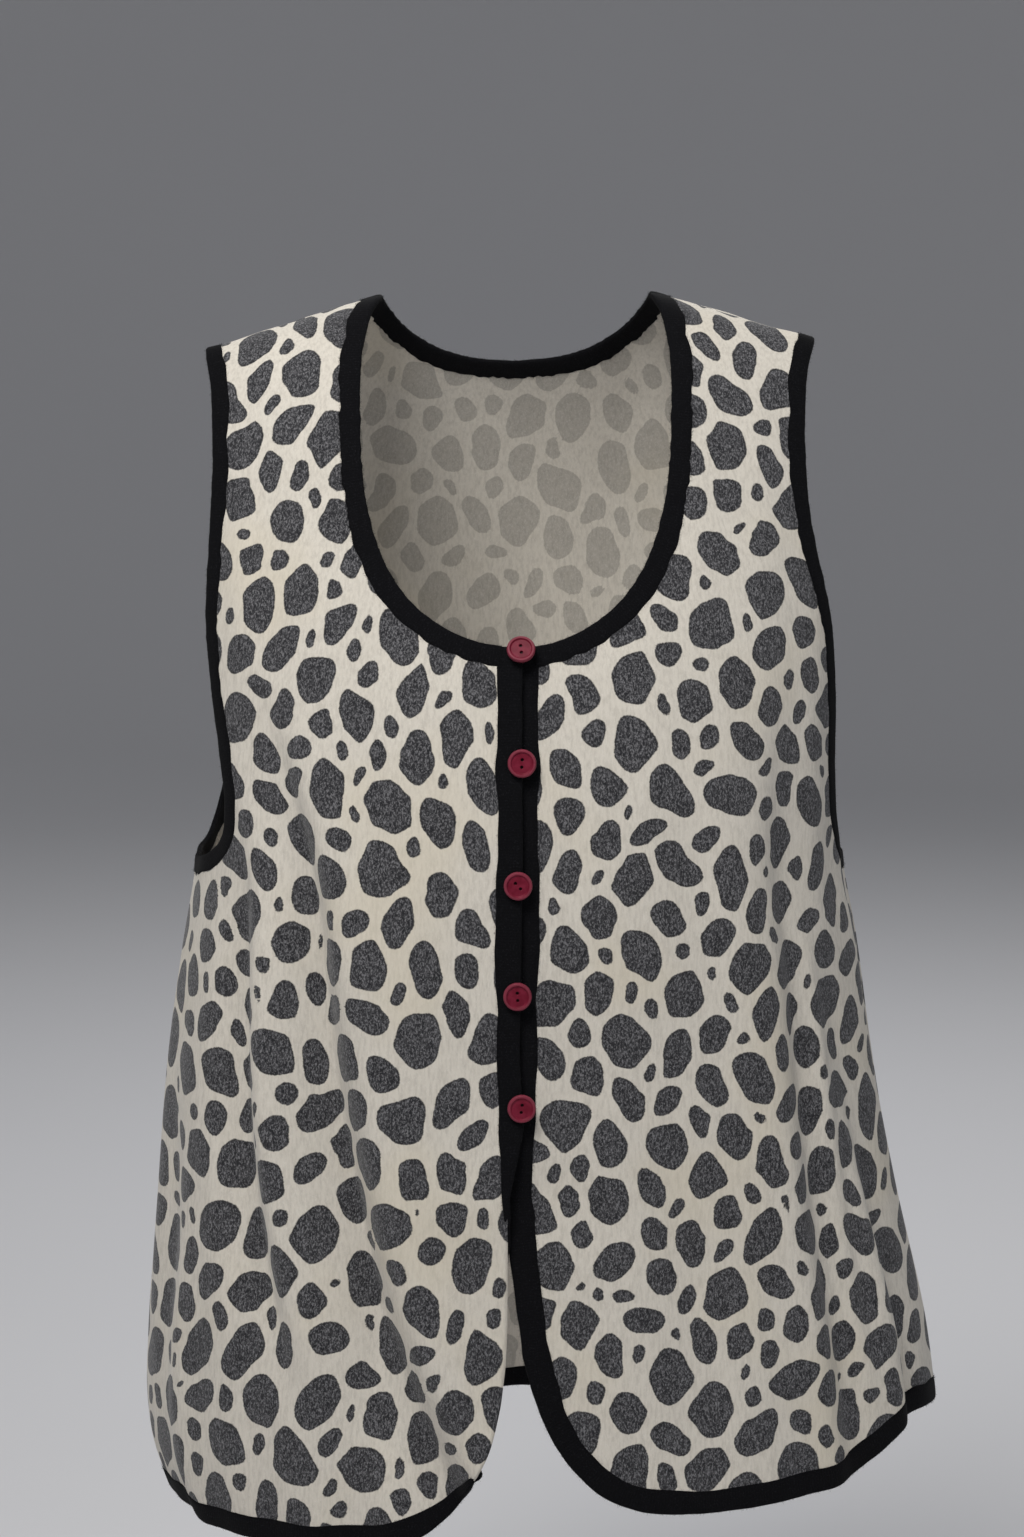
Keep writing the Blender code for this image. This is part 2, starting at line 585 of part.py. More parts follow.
# ---- bindings ------------------------------------------------------------------------
# Section of a binding: share of the width from its outer rim, and share of
# the thickness.  Its rim is rounded and its sewn side is a little thinner.
TAPE_SECTION = ((0.00, -0.22), (0.12, -0.50), (1.00, -0.42), (1.00, 0.42), (0.12, 0.50), (0.00, 0.22))


def tape_sections(rim, width, lap, side, rolled=None):
    """Section points at each place of a rim.  rolled holds two rows: how far
    the strip is turned under, and the share of its width that is left."""
    surface = lapped(lap)
    sewn = inset(rim, width, lap, side)
    turned, kept = (np.zeros(len(rim)), np.ones(len(rim))) if rolled is None else rolled
    outer = sewn + (rim - sewn) * kept[:, None]
    base, base_out = surface(*sewn.T), outward(surface, *sewn.T)
    away = surface(*outer.T) - base
    away /= np.linalg.norm(away, axis=-1, keepdims=True)
    angle = turned * ROLL_TURN
    tuck = ROLL_TUCK * fade(angle, ROLL_TURN / 2, ROLL_TURN)
    low = -TAPE_THICK / 2
    points = []
    for share, depth in TAPE_SECTION:
        place = outer + (sewn - outer) * share
        point = surface(*place.T) + outward(surface, *place.T) * depth * TAPE_THICK
        u = np.sum((point - base) * away, axis=-1)
        v = np.sum((point - base) * base_out, axis=-1) - low
        rolled_u = u * np.cos(angle) + v * np.sin(angle) - tuck
        rolled_v = low - u * np.sin(angle) + v * np.cos(angle)
        under = base + away * rolled_u[:, None] + base_out * rolled_v[:, None]
        points.append(np.where(turned[:, None] > 0, under, point))
    return np.stack(points, axis=1)


def pick(sections, places):
    """Sections at fractional places along a rim."""
    low = np.clip(np.floor(places).astype(int), 0, len(sections) - 2)
    part = (places - low)[:, None, None]
    return sections[low] * (1 - part) + sections[low + 1] * part


def flat_end(sections, axis, value):
    """One section whose every point lies where its own line crosses a plane."""
    points = [place_at(line, crossing(line, axis, value)) for line in np.swapaxes(sections, 0, 1)]
    return np.array(points)[None]


def bar(name, sections, ring, colour):
    """A closed bar through section points, capped unless it is a ring."""
    count, size = sections.shape[:2]
    faces = []
    for k in range(count if ring else count - 1):
        here, there = k * size, (k + 1) % count * size
        for j in range(size):
            n = (j + 1) % size
            faces.append((here + j, here + n, there + n, there + j))
    if not ring:
        faces.append(tuple(reversed(range(size))))
        faces.append(tuple(range((count - 1) * size, count * size)))
    return solid(name, sections.reshape(-1, 3), faces, colour)


def neck_binding(name, colour):
    """One strip from the upper front, round the back of the neck, to the lower front."""
    stretches = []
    for side in (RIGHT, LEFT):
        lap = LAPS[side]
        front = tape_sections(NECK_RIM[side], NECK_TAPE, lap, side)
        rim_x = {RIGHT: FRONT_RIM_RIGHT[0][0], LEFT: FRONT_RIM_LEFT[0][0]}[side]
        end = flat_end(front, 0, rim_x + side * (FRONT_TAPE + SEAM))
        back = tape_sections(NECK_BACK_RIM[side], NECK_TAPE, 0.0, -side)
        shoulder = (flat_end(front, 1, 0.0) + flat_end(back, 1, 0.0)) / 2
        front = pick(front, front_layout(side)["neck"])[::-1]
        back = pick(back, back_layout()["neck"])
        one = np.vstack([end, front[1:-1], shoulder, back[1:]])
        stretches.append(one if side == RIGHT else one[-2::-1])
    return bar(name, np.vstack(stretches), False, colour)


def armhole_binding(side, name, colour):
    """A ring round one armhole."""
    front = tape_sections(ARM_RIM[side], ARM_TAPE, 0.0, -side)
    back = tape_sections(ARM_BACK_RIM[side], ARM_TAPE, 0.0, side)
    top = (flat_end(front, 1, 0.0) + flat_end(back, 1, 0.0)) / 2
    front = pick(front, front_layout(side)["arm"])
    back = pick(back, back_layout()["arm"][side])
    bottom = (front[-1:] + back[-1:]) / 2
    ring = np.vstack([top, front[1:-1], bottom, back[-2:0:-1]])
    return bar(name, ring[::-1] if side == LEFT else ring, True, colour)


def rolled_under(heights):
    """How far the right front's binding is turned under, and the width left."""
    rows = np.array(ROLLED)[::-1].T
    turned, kept = np.interp(heights, rows[0], rows[1]), np.interp(heights, rows[0], rows[2])
    return fade(turned, 0.0, 1.0), kept


def front_binding(side, name, colour):
    """The strip down one front edge, round its corner and along the hem."""
    lap = LAPS[side]
    surface = lapped(lap)
    rim = FRONT_RIM[side]
    heights = surface(rim[:, 0], rim[:, 1])[:, 2]
    rolled = rolled_under(heights) if side == RIGHT else None
    sections = tape_sections(rim, tape_width(rim, surface), lap, side, rolled)
    places = front_layout(side)["front"][:-1]
    if side == RIGHT:
        extra = [crossing(heights[:, None], 0, z) for z in ROLLED_STEPS]
        places = np.sort(np.concatenate([places, extra]))
    picked = np.vstack([sections[:1], pick(sections, places), flat_end(sections, 1, -SEAM / 2)])
    return bar(name, picked[::-1] if side == RIGHT else picked, False, colour)


def hem_binding_back(name, colour):
    """The strip along the back's hem between the side seams."""
    sections = tape_sections(hem_back_rim(), HEM_TAPE, 0.0, 1)
    half = len(sections) // 2
    ends = flat_end(sections[:half], 1, SEAM / 2), flat_end(sections[half:], 1, SEAM / 2)
    picked = np.vstack([ends[0], pick(sections, back_layout()["hem"]), ends[1]])
    return bar(name, picked, False, colour)


# ---- buttons ---------------------------------------------------------------------------
def button_shape():
    """A round button with a raised rim and two holes: points and faces."""
    sides, hole_sides = BUTTON_SIDES, HOLE_SIDES
    face = BUTTON_THICK - BUTTON_DISH
    rings = ((BUTTON_R, BUTTON_DISH, face), (BUTTON_R * 0.94, 0.0, BUTTON_THICK),
             (BUTTON_R * 0.84, 0.0, BUTTON_THICK), (BUTTON_R * 0.72, 0.0, face))
    flat, low, high = [], [], []
    for radius, bottom, top in rings:
        for k in range(sides):
            angle = 2 * math.pi * k / sides
            flat.append((radius * math.cos(angle), radius * math.sin(angle)))
            low.append(bottom)
            high.append(top)
    holes = []
    for sign in (-1, 1):
        first = len(flat)
        for k in range(hole_sides):
            angle = 2 * math.pi * (k + 0.5) / hole_sides
            flat.append((BUTTON_HOLE_R * math.cos(angle),
                         sign * BUTTON_HOLE_PITCH / 2 + BUTTON_HOLE_R * math.sin(angle)))
            low.append(0.0)
            high.append(face)
        holes.append(list(range(first, first + hole_sides)))
    edges = [(r * sides + k, r * sides + (k + 1) % sides) for r in range(len(rings)) for k in range(sides)]
    edges += [(hole[k], hole[(k + 1) % hole_sides]) for hole in holes for k in range(hole_sides)]
    vectors = [mathutils.Vector(p) for p in flat]
    found = mathutils.geometry.delaunay_2d_cdt(vectors, edges, [], 0, 1e-7)
    triangles = []
    for face in found[2]:
        if not any(set(face) <= set(hole) for hole in holes):
            triangles.append(tuple(face))
    count = len(flat)
    points = [(x, y, z) for (x, y), z in zip(flat, high)] + [(x, y, z) for (x, y), z in zip(flat, low)]
    faces = []
    for a, b, c in triangles:
        turn = (flat[b][0] - flat[a][0]) * (flat[c][1] - flat[a][1])
        turn -= (flat[b][1] - flat[a][1]) * (flat[c][0] - flat[a][0])
        a, b, c = (a, b, c) if turn > 0 else (a, c, b)
        faces += [(a, b, c), (a + count, c + count, b + count)]
    for k in range(sides):
        n = (k + 1) % sides
        faces.append((n, k, k + count, n + count))
    for hole in holes:
        for k in range(hole_sides):
            here, there = hole[k], hole[(k + 1) % hole_sides]
            faces.append((here, there, there + count, here + count))
    return points, faces


def button(number, x, z, hole_turn, colour):
    """One button, seated just clear of the upper binding."""
    drop = float(shoulder_line(x) * shoulder_hold(-z)) - z
    reach = float(reach_of(drop))
    turn = turn_at(abs(x), RIGHT if x < 0 else LEFT, reach)
    surface = lapped(1.0)
    out = outward(surface, np.array(turn), np.array(reach))
    seat = surface(turn, reach) + out * (TAPE_THICK / 2 + SEAM)
    if number == 1:
        seat = seat + out * TOP_BUTTON_LIFT
    up = np.array([0.0, 0.0, 1.0]) - out * out[2]
    up /= np.linalg.norm(up)
    across = np.cross(up, out)
    frame = mathutils.Matrix((across, up, out)).transposed().to_4x4()
    tip = mathutils.Matrix.Rotation(-TOP_BUTTON_TIP if number == 1 else 0.0, 4, "X")
    spin = mathutils.Matrix.Rotation(math.radians(hole_turn), 4, "Z")
    points, faces = button_shape()
    made = solid("button_%d" % number, np.array(points), faces, colour, roughness=0.35)
    made.matrix_world = mathutils.Matrix.Translation(seat) @ frame @ tip @ spin
    return made


# ---- objects and materials ---------------------------------------------------------------
def finish(name, colour, roughness):
    """A plain Principled material."""
    material = bpy.data.materials.new(name)
    material.use_nodes = True
    shader = material.node_tree.nodes["Principled BSDF"]
    shader.inputs["Base Color"].default_value = (*colour, 1.0)
    shader.inputs["Roughness"].default_value = roughness
    shader.inputs["Metallic"].default_value = 0.0
    return material


def solid(name, points, faces, colour, roughness=0.95):
    """A mesh object with its own material."""
    mesh = bpy.data.meshes.new(name)
    mesh.from_pydata([tuple(map(float, p)) for p in points], [], faces)
    mesh.validate()
    mesh.update()
    made = bpy.data.objects.new(name, mesh)
    made.data.materials.append(finish(name + "_finish", colour, roughness))
    bpy.context.scene.collection.objects.link(made)
    return made


CREAM = (0.78, 0.72, 0.55)
BLACK = (0.012, 0.012, 0.014)
BURGUNDY = (0.22, 0.025, 0.055)


def main():
    """Clear the scene and make every piece of the vest."""
    for old in list(bpy.data.objects):
        bpy.data.objects.remove(old, do_unlink=True)
    wall("front_right", front_layout(RIGHT)["grid"], lapped(1.0), CREAM)
    wall("front_left", front_layout(LEFT)["grid"], lapped(-1.0), CREAM)
    wall("back", back_layout()["grid"], lapped(0.0), CREAM)
    neck_binding("neck_binding", BLACK)
    armhole_binding(RIGHT, "armhole_binding_right", BLACK)
    armhole_binding(LEFT, "armhole_binding_left", BLACK)
    front_binding(RIGHT, "front_binding_right", BLACK)
    front_binding(LEFT, "front_binding_left", BLACK)
    hem_binding_back("hem_binding_back", BLACK)
    for number, (x, z, hole_turn) in enumerate(BUTTONS, start=1):
        button(number, x, z, hole_turn, BURGUNDY)


main()
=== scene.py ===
"""Knit vest, worn: felted cloth with charcoal spots on cream, black bindings.

All pieces lie on one body surface, in metres, +Z up, the front facing -Y and
the wearer's left towards +X.  "turn" is the angle round the body (0 at
centre front, +90 degrees at the wearer's left side) and "reach" the length
down the cloth from the shoulder line.  The cloth is cut a little under the
bindings, as it is in the sewn vest, so no gap shows at a seam.
"""

import logging
import math
from dataclasses import dataclass, field
from enum import Enum
from typing import Callable

import bmesh
import bpy
import mathutils
import numpy as np
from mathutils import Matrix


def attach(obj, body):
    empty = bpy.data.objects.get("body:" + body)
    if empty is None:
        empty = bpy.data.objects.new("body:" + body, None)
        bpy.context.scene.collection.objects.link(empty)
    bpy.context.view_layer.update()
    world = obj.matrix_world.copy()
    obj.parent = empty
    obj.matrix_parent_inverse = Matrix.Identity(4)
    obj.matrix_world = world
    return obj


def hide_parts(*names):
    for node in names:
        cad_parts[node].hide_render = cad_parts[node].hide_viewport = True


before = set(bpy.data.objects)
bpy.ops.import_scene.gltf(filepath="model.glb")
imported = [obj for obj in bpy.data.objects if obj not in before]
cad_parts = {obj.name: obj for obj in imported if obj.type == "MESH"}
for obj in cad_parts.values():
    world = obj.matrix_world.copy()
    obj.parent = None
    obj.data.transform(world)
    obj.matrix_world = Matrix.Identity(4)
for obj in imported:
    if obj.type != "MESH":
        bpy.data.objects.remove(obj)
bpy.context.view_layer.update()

LOG = logging.getLogger("vest")
Array = np.ndarray
Surface = Callable[[Array, Array], Array]
Socket = bpy.types.NodeSocket
Object = bpy.types.Object
Material = bpy.types.Material
SIDE_TURN = math.pi / 2
WHOLE_TURN = 2 * math.pi
SLOPE_STEP = 1e-4         # the small step for slopes, in radians and in metres
TURN_METRES = 0.18        # about how far one radian of turn is round the cloth
RIM_POINTS = 600          # points along each edge


class Side(Enum):
    """The wearer's sides, as the sign of x."""
    RIGHT = -1
    LEFT = 1


# ---- small numeric helpers ----
def smooth(at: Array, xs: Array, ys: Array) -> Array:
    """Read a smooth curve: a cubic with matched slopes between each two points.

    Args:
        at: places to read; before the first point the curve goes straight on.
        xs: places of the given points, rising.
        ys: heights of the given points.
    Returns:
        The curve's heights at the places.
    """
    xs, ys = np.asarray(xs, float), np.asarray(ys, float)
    slope = np.gradient(ys, xs)
    inside = np.clip(at, xs[0], xs[-1])
    k = np.clip(np.searchsorted(xs, inside, side="right") - 1, 0, len(xs) - 2)
    step = xs[k + 1] - xs[k]
    t = (inside - xs[k]) / step
    curve = ((2 * t**3 - 3 * t**2 + 1) * ys[k] + (t**3 - 2 * t**2 + t) * step * slope[k]
             + (3 * t**2 - 2 * t**3) * ys[k + 1] + (t**3 - t**2) * step * slope[k + 1])
    return curve + np.minimum(at - xs[0], 0.0) * slope[0]


def fade(at: Array, low: float, high: float) -> Array:
    """A soft step: 0 below low, 1 above high."""
    t = np.clip((at - low) / (high - low), 0.0, 1.0)
    return t * t * (3 - 2 * t)


def eased(rows: Array, run: int = 8) -> Array:
    """Rows averaged with their neighbours under a bell-shaped window."""
    window = np.hanning(2 * run + 3)[1:-1]
    window /= window.sum()
    padded = np.pad(rows, ((run, run), (0, 0)), mode="edge")
    return np.stack([np.convolve(column, window, "valid") for column in padded.T], axis=-1)


def unit(vectors: Array) -> Array:
    """The vectors, each divided by its own length."""
    return vectors / np.maximum(np.linalg.norm(vectors, axis=-1, keepdims=True), 1e-12)


def crossing(curve: Array, column: int, value: float) -> float:
    """Fractional row of a curve at which a coordinate first crosses a value."""
    past = np.sign(curve[:, column] - value)
    k = int(np.nonzero(past[1:] != past[0])[0][0])
    return k + float((value - curve[k, column]) / (curve[k + 1, column] - curve[k, column]))


def place_at(curve: Array, at: float) -> Array:
    """The curve's row at a fractional place."""
    return np.array([np.interp(at, np.arange(len(curve)), column) for column in curve.T])


def between(curve: Array, first: float, last: float) -> Array:
    """The stretch of a curve between two fractional rows."""
    whole = curve[int(first) + 1:int(np.ceil(last))]
    return np.vstack([place_at(curve, first), whole, place_at(curve, last)])


def at_lengths(curve: Array, lengths: Array, wanted: Array) -> Array:
    """Rows of a curve at the wanted lengths along it."""
    return np.stack([np.interp(wanted, lengths, column) for column in curve.T], axis=-1)


def run_of(places: Array) -> Array:
    """Length along a row of places, from the first to each."""
    return np.concatenate([[0], np.cumsum(np.linalg.norm(np.diff(places, axis=0), axis=1))])


def reach_of(drop: Array) -> Array:
    """Length down the cloth for a drop: root of drop squared plus twice roll times drop."""
    return np.sqrt(drop**2 + 2 * BodyForm.ROLL * drop)


def drop_of(reach: Array) -> Array:
    """Drop for a length down the cloth, the inverse of reach_of."""
    return np.sqrt(reach**2 + BodyForm.ROLL**2) - BodyForm.ROLL


# ---- the body surface ----
@dataclass(frozen=True)
class Fold:
    """A trough that runs down the cloth.

    Drops are in metres, turns in degrees round the body.  lean makes one flank
    steeper: above 0 the one towards the wearer's left.  bow bends its line.
    """
    top: float
    bottom: float
    top_turn: float
    bottom_turn: float
    half_width: float
    depth: float
    lean: float = 0.0
    bow: float = 0.0
    stop: float = 9.0     # share of the way down at which it begins to die out


@dataclass
class BodyForm:
    """The hollow form that the cloth hangs in, with its folds.

    Each section is an ellipse squared by a small share, its half width and
    depth read from smooth curves down the body.
    """
    ROLL = 0.030                  # radius by which the cloth rolls over the shoulders
    lap: float = 0.0042           # between the middles of the two fronts at the centre
    lap_reach: float = 0.055      # half width of the stretch where they part
    lap_spread: float = 0.9       # they part by this much more, near this drop
    lap_spread_at: float = 0.482
    lap_spread_reach: float = 0.022
    fullness: float = 0.09        # how much a section is squared
    fold_arc: float = 0.85        # metres to a radian round a fold, for each metre of half width
    fold_lean: float = 0.6        # how much a full lean narrows one flank
    fold_start: tuple = (-0.05, 0.42)   # shares of the way down between which a fold sets in
    fold_end: float = 0.35        # and the share over which it dies out
    ridge_width: float = 2.4      # the ridge beside a trough, as shares of the trough's sizes
    ridge_height: float = 0.45
    shoulder_top: float = 0.0055
    shoulder_tilt: float = 0.012  # rise to the left, for each metre
    shoulder_neck: float = 0.070  # the line slopes down past this distance from centre
    shoulder_slope: float = 0.305
    shoulder_soft: float = 0.012
    shoulder_fade: tuple = (0.03, 0.30)     # drops over which the shoulder's slope dies out
    seam_dip: float = 0.0011      # the cloth dips into its side and shoulder seams
    seam_half: float = 0.0026
    seam_arc: float = 0.19        # metres to a radian of turn at the side seams
    seam_from: tuple = (0.18, 0.26)     # drops between which the side seams' dip begins
    wave: float = 0.0022          # faint unevenness all over
    wave_least: float = 0.35      # its share at the top, and the drops over which it grows
    wave_from: tuple = (0.12, 0.45)
    wave_runs: tuple = (          # phase for a radian of turn, for a metre of reach, to start
        (7.0, 5.0, 0.4), (12.0, -7.0, 1.9), (19.0, 11.0, 4.0), (27.0, -15.0, 2.2))
    sections: Array = field(default_factory=lambda: np.array((
        # drop, right, left, front, back
        (0.000, 0.2000, 0.1920, 0.0000, 0.0000),
        (0.005, 0.1995, 0.1918, 0.0172, 0.0172),
        (0.012, 0.1990, 0.1915, 0.0262, 0.0275),
        (0.030, 0.1975, 0.1905, 0.0415, 0.0460),
        (0.060, 0.1955, 0.1892, 0.0580, 0.0655),
        (0.100, 0.1930, 0.1880, 0.0745, 0.0835),
        (0.150, 0.1895, 0.1868, 0.0935, 0.0980),
        (0.200, 0.1850, 0.1852, 0.1095, 0.1070),
        (0.260, 0.1805, 0.1828, 0.1215, 0.1120),
        (0.310, 0.1800, 0.1835, 0.1260, 0.1130),
        (0.360, 0.1880, 0.1920, 0.1275, 0.1140),
        (0.420, 0.1965, 0.2005, 0.1280, 0.1165),
        (0.500, 0.2030, 0.2150, 0.1300, 0.1230),
        (0.590, 0.2095, 0.2340, 0.1350, 0.1320),
        (0.625, 0.2100, 0.2385, 0.1372, 0.1355),
        (0.650, 0.2070, 0.2400, 0.1390, 0.1380),
        (0.685, 0.1950, 0.2400, 0.1415, 0.1405),
    )).T)
    folds: tuple[Fold, ...] = (
        Fold(0.255, 0.560, -58.5, -37.0, 0.0160, 0.0150, 0.65, 0.8, 0.85),
        Fold(0.195, 0.640, -48.5, -9.5, 0.0200, 0.0215, 0.80, 1.8),
        Fold(0.360, 0.640, -24.0, -22.0, 0.0150, 0.0075, 0.45, -1.0),
        Fold(0.210, 0.700, 49.0, 50.0, 0.0185, 0.0150, -0.50, 1.0, 0.70),
        Fold(0.290, 0.640, 57.5, 58.5, 0.0105, 0.0062, -0.30, 1.2, 0.70),
        Fold(0.290, 0.700, 65.0, 67.5, 0.0180, 0.0118, -0.40, -1.5, 0.68),
        Fold(0.420, 0.700, -70.0, -68.0, 0.0220, 0.0080, 0.20, 1.5),
        Fold(0.420, 0.700, 27.0, 24.0, 0.0260, 0.0030, -0.20, 1.2),
        Fold(0.290, 0.700, 122.0, 128.0, 0.0200, 0.0135, 0.35, 1.5),
        Fold(0.340, 0.700, 152.0, 155.0, 0.0195, 0.0100, -0.30, -1.0),
        Fold(0.310, 0.700, 203.0, 201.0, 0.0195, 0.0115, 0.35, 1.0),
        Fold(0.280, 0.700, 236.0, 230.0, 0.0205, 0.0135, -0.35, -1.5),
    )

    def __post_init__(self) -> None:
        """Keep the reach of each section's row."""
        self.section_reach = reach_of(self.sections[0])

    def size(self, reach: Array, column: int) -> Array:
        """One size at a reach: 1 right, 2 left, 3 front, 4 back."""
        return smooth(reach, self.section_reach, self.sections[column])

    def shoulder_line(self, x: Array) -> Array:
        """Height of the shoulder line: level near the neck, then a soft-cornered slope."""
        past = np.abs(x) - self.shoulder_neck
        fall = self.shoulder_slope * (np.sqrt(past**2 + self.shoulder_soft**2) + past) / 2
        return self.shoulder_top + self.shoulder_tilt * x - fall

    def bare(self, turn: Array, reach: Array) -> Array:
        """The surface with no folds: x = half sin(turn), y = -depth cos(turn), both
        swelled between the axes; z falls with the drop and holds the shoulder's slope."""
        sine, cosine = np.sin(turn), np.cos(turn)
        half = np.where(sine < 0, self.size(reach, 1), self.size(reach, 2))
        depth = np.where(cosine > 0, self.size(reach, 3), self.size(reach, 4))
        x = half * sine * (1 + self.fullness * cosine**2)
        y = -depth * cosine * (1 + self.fullness * sine**2)
        drop = drop_of(reach)
        z = self.shoulder_line(x) * (1 - fade(drop, *self.shoulder_fade)) - drop
        return np.stack([x, y, z], axis=-1)

    def fold_depth(self, turn: Array, reach: Array) -> Array:
        """Move of the cloth for all folds: for each, a bell-shaped trough with a
        wider, lower ridge round it, its flanks uneven by the fold's lean."""
        drop = drop_of(reach)
        total = np.zeros(np.broadcast(turn, reach).shape)
        for fold in self.folds:
            half = self.size(reach, 1 if math.sin(math.radians(fold.top_turn)) < 0 else 2)
            along = (drop - fold.top) / (fold.bottom - fold.top)
            middle = fold.top_turn + (fold.bottom_turn - fold.top_turn) * along
            middle = middle + fold.bow * np.sin(WHOLE_TURN * along)
            away = (np.degrees(turn) - middle + 180.0) % 360.0 - 180.0
            metres = np.radians(away) * half * self.fold_arc
            lean = self.fold_lean * fold.lean
            across = metres / (fold.half_width * np.where(metres > 0, 1 - lean, 1 + lean))
            wide = metres / (fold.half_width * self.ridge_width)
            strength = fade(along, *self.fold_start) * fold.depth
            strength = strength * (1 - fade(along, fold.stop, fold.stop + self.fold_end))
            total += strength * (self.ridge_height * np.exp(-wide**2) - np.exp(-across**2))
        return total

    def unevenness(self, turn: Array, reach: Array) -> Array:
        """Faint waves: a few sines of different runs, dying out at the seams' tops."""
        waves = sum(np.sin(a * turn + b * reach + c) for a, b, c in self.wave_runs)
        grown = fade(drop_of(reach), *self.wave_from) * (1 - self.wave_least) + self.wave_least
        return self.wave * waves / len(self.wave_runs) * grown

    def seam_valley(self, turn: Array, reach: Array) -> Array:
        """The dip at a seam: a bell over the distance from the side or shoulder seam."""
        side = np.abs(np.abs((turn + math.pi) % WHOLE_TURN - math.pi) - SIDE_TURN) * self.seam_arc
        along_side = fade(drop_of(reach), *self.seam_from)
        return self.seam_dip * (np.exp(-(side / self.seam_half) ** 2) * along_side
                                + np.exp(-(reach / self.seam_half) ** 2))

    def surface(self, turn: Array, reach: Array, lap: float = 0.0) -> Array:
        """Middle of the cloth: the bare body moved along its normal.

        Args:
            turn: angle round the body.
            reach: length down the cloth.
            lap: +1 on the upper front, -1 on the lower, 0 elsewhere.
        Returns:
            Places, one row of x, y, z for each pair.
        """
        turn, reach = np.asarray(turn, float), np.asarray(reach, float)
        place = self.bare(turn, reach)
        at_front = np.exp(-(place[..., 0] / self.lap_reach) ** 2) * (np.cos(turn) > 0)
        spread = np.exp(-((drop_of(reach) - self.lap_spread_at) / self.lap_spread_reach) ** 2)
        calm = 1 - at_front
        move = (self.fold_depth(turn, reach) + self.unevenness(turn, reach) * calm
                - self.seam_valley(turn, reach)
                + lap * self.lap / 2 * at_front * (1 + self.lap_spread * spread))
        return place + self.normal(self.bare, turn, reach) * move[..., None]

    def lapped(self, lap: float) -> Surface:
        """The surface of one panel, as a function of turn and reach."""
        return lambda turn, reach: self.surface(turn, reach, lap)

    @staticmethod
    def slopes(surface: Surface, turn: Array, reach: Array) -> tuple[Array, Array]:
        """How a surface moves per unit of turn and of reach, by small steps each way."""
        d = SLOPE_STEP
        by_turn = (surface(turn + d, reach) - surface(turn - d, reach)) / (2 * d)
        by_reach = (surface(turn, reach + d) - surface(turn, reach - d)) / (2 * d)
        return by_turn, by_reach

    @staticmethod
    def normal(surface: Surface, turn: Array, reach: Array) -> Array:
        """Unit normal away from the body: the cross product of the two slopes."""
        by_turn, by_reach = BodyForm.slopes(surface, turn, reach)
        return unit(np.cross(by_reach, by_turn))

    def turn_at(self, out: float, side: Side, reach: float, back: bool = False) -> float:
        """The turn at which a section lies out from centre, on one side."""
        quarter = np.linspace(0.0, SIDE_TURN, 200)
        half = self.size(reach, 1 if side is Side.RIGHT else 2)
        share = np.sin(quarter) * (1 + self.fullness * np.cos(quarter) ** 2)
        turn = float(np.interp(out / half, share, quarter))
        return side.value * (math.pi - turn if back else turn)

    def on_front(self, x: float, z: float, rounds: int = 6) -> tuple[float, float]:
        """Turn and reach of the front's place at x and z: the drop is -z plus the
        shoulder's share at that drop, found in a few rounds."""
        drop = -z
        for _ in range(rounds):
            drop = float(self.shoulder_line(x) * (1 - fade(drop, *self.shoulder_fade))) - z
        reach = float(reach_of(drop))
        return self.turn_at(abs(x), Side.RIGHT if x < 0 else Side.LEFT, reach), reach

    def inset(self, edge: Array, width: Array, lap: float, side: int) -> Array:
        """Move an edge by a width along the cloth, in four small steps, each solved
        from the surface's slopes.  side +1 moves it to the left of its direction."""
        surface = self.lapped(lap)
        turn, reach = edge[:, 0].copy(), edge[:, 1].copy()
        along = unit(eased(np.gradient(surface(turn, reach), axis=0)))
        width = np.broadcast_to(width, turn.shape)
        steps = 4
        for _ in range(steps):
            by_turn, by_reach = self.slopes(surface, turn, reach)
            across = side * np.cross(unit(np.cross(by_reach, by_turn)), along)
            tt = np.sum(by_turn * by_turn, axis=-1)
            rr = np.sum(by_reach * by_reach, axis=-1)
            tr = np.sum(by_turn * by_reach, axis=-1)
            at, ar = np.sum(across * by_turn, axis=-1), np.sum(across * by_reach, axis=-1)
            spread = tt * rr - tr * tr
            turn += width / steps * (at * rr - ar * tr) / spread
            reach += width / steps * (ar * tt - at * tr) / spread
        return edge + eased(np.stack([turn, reach], axis=-1) - edge)


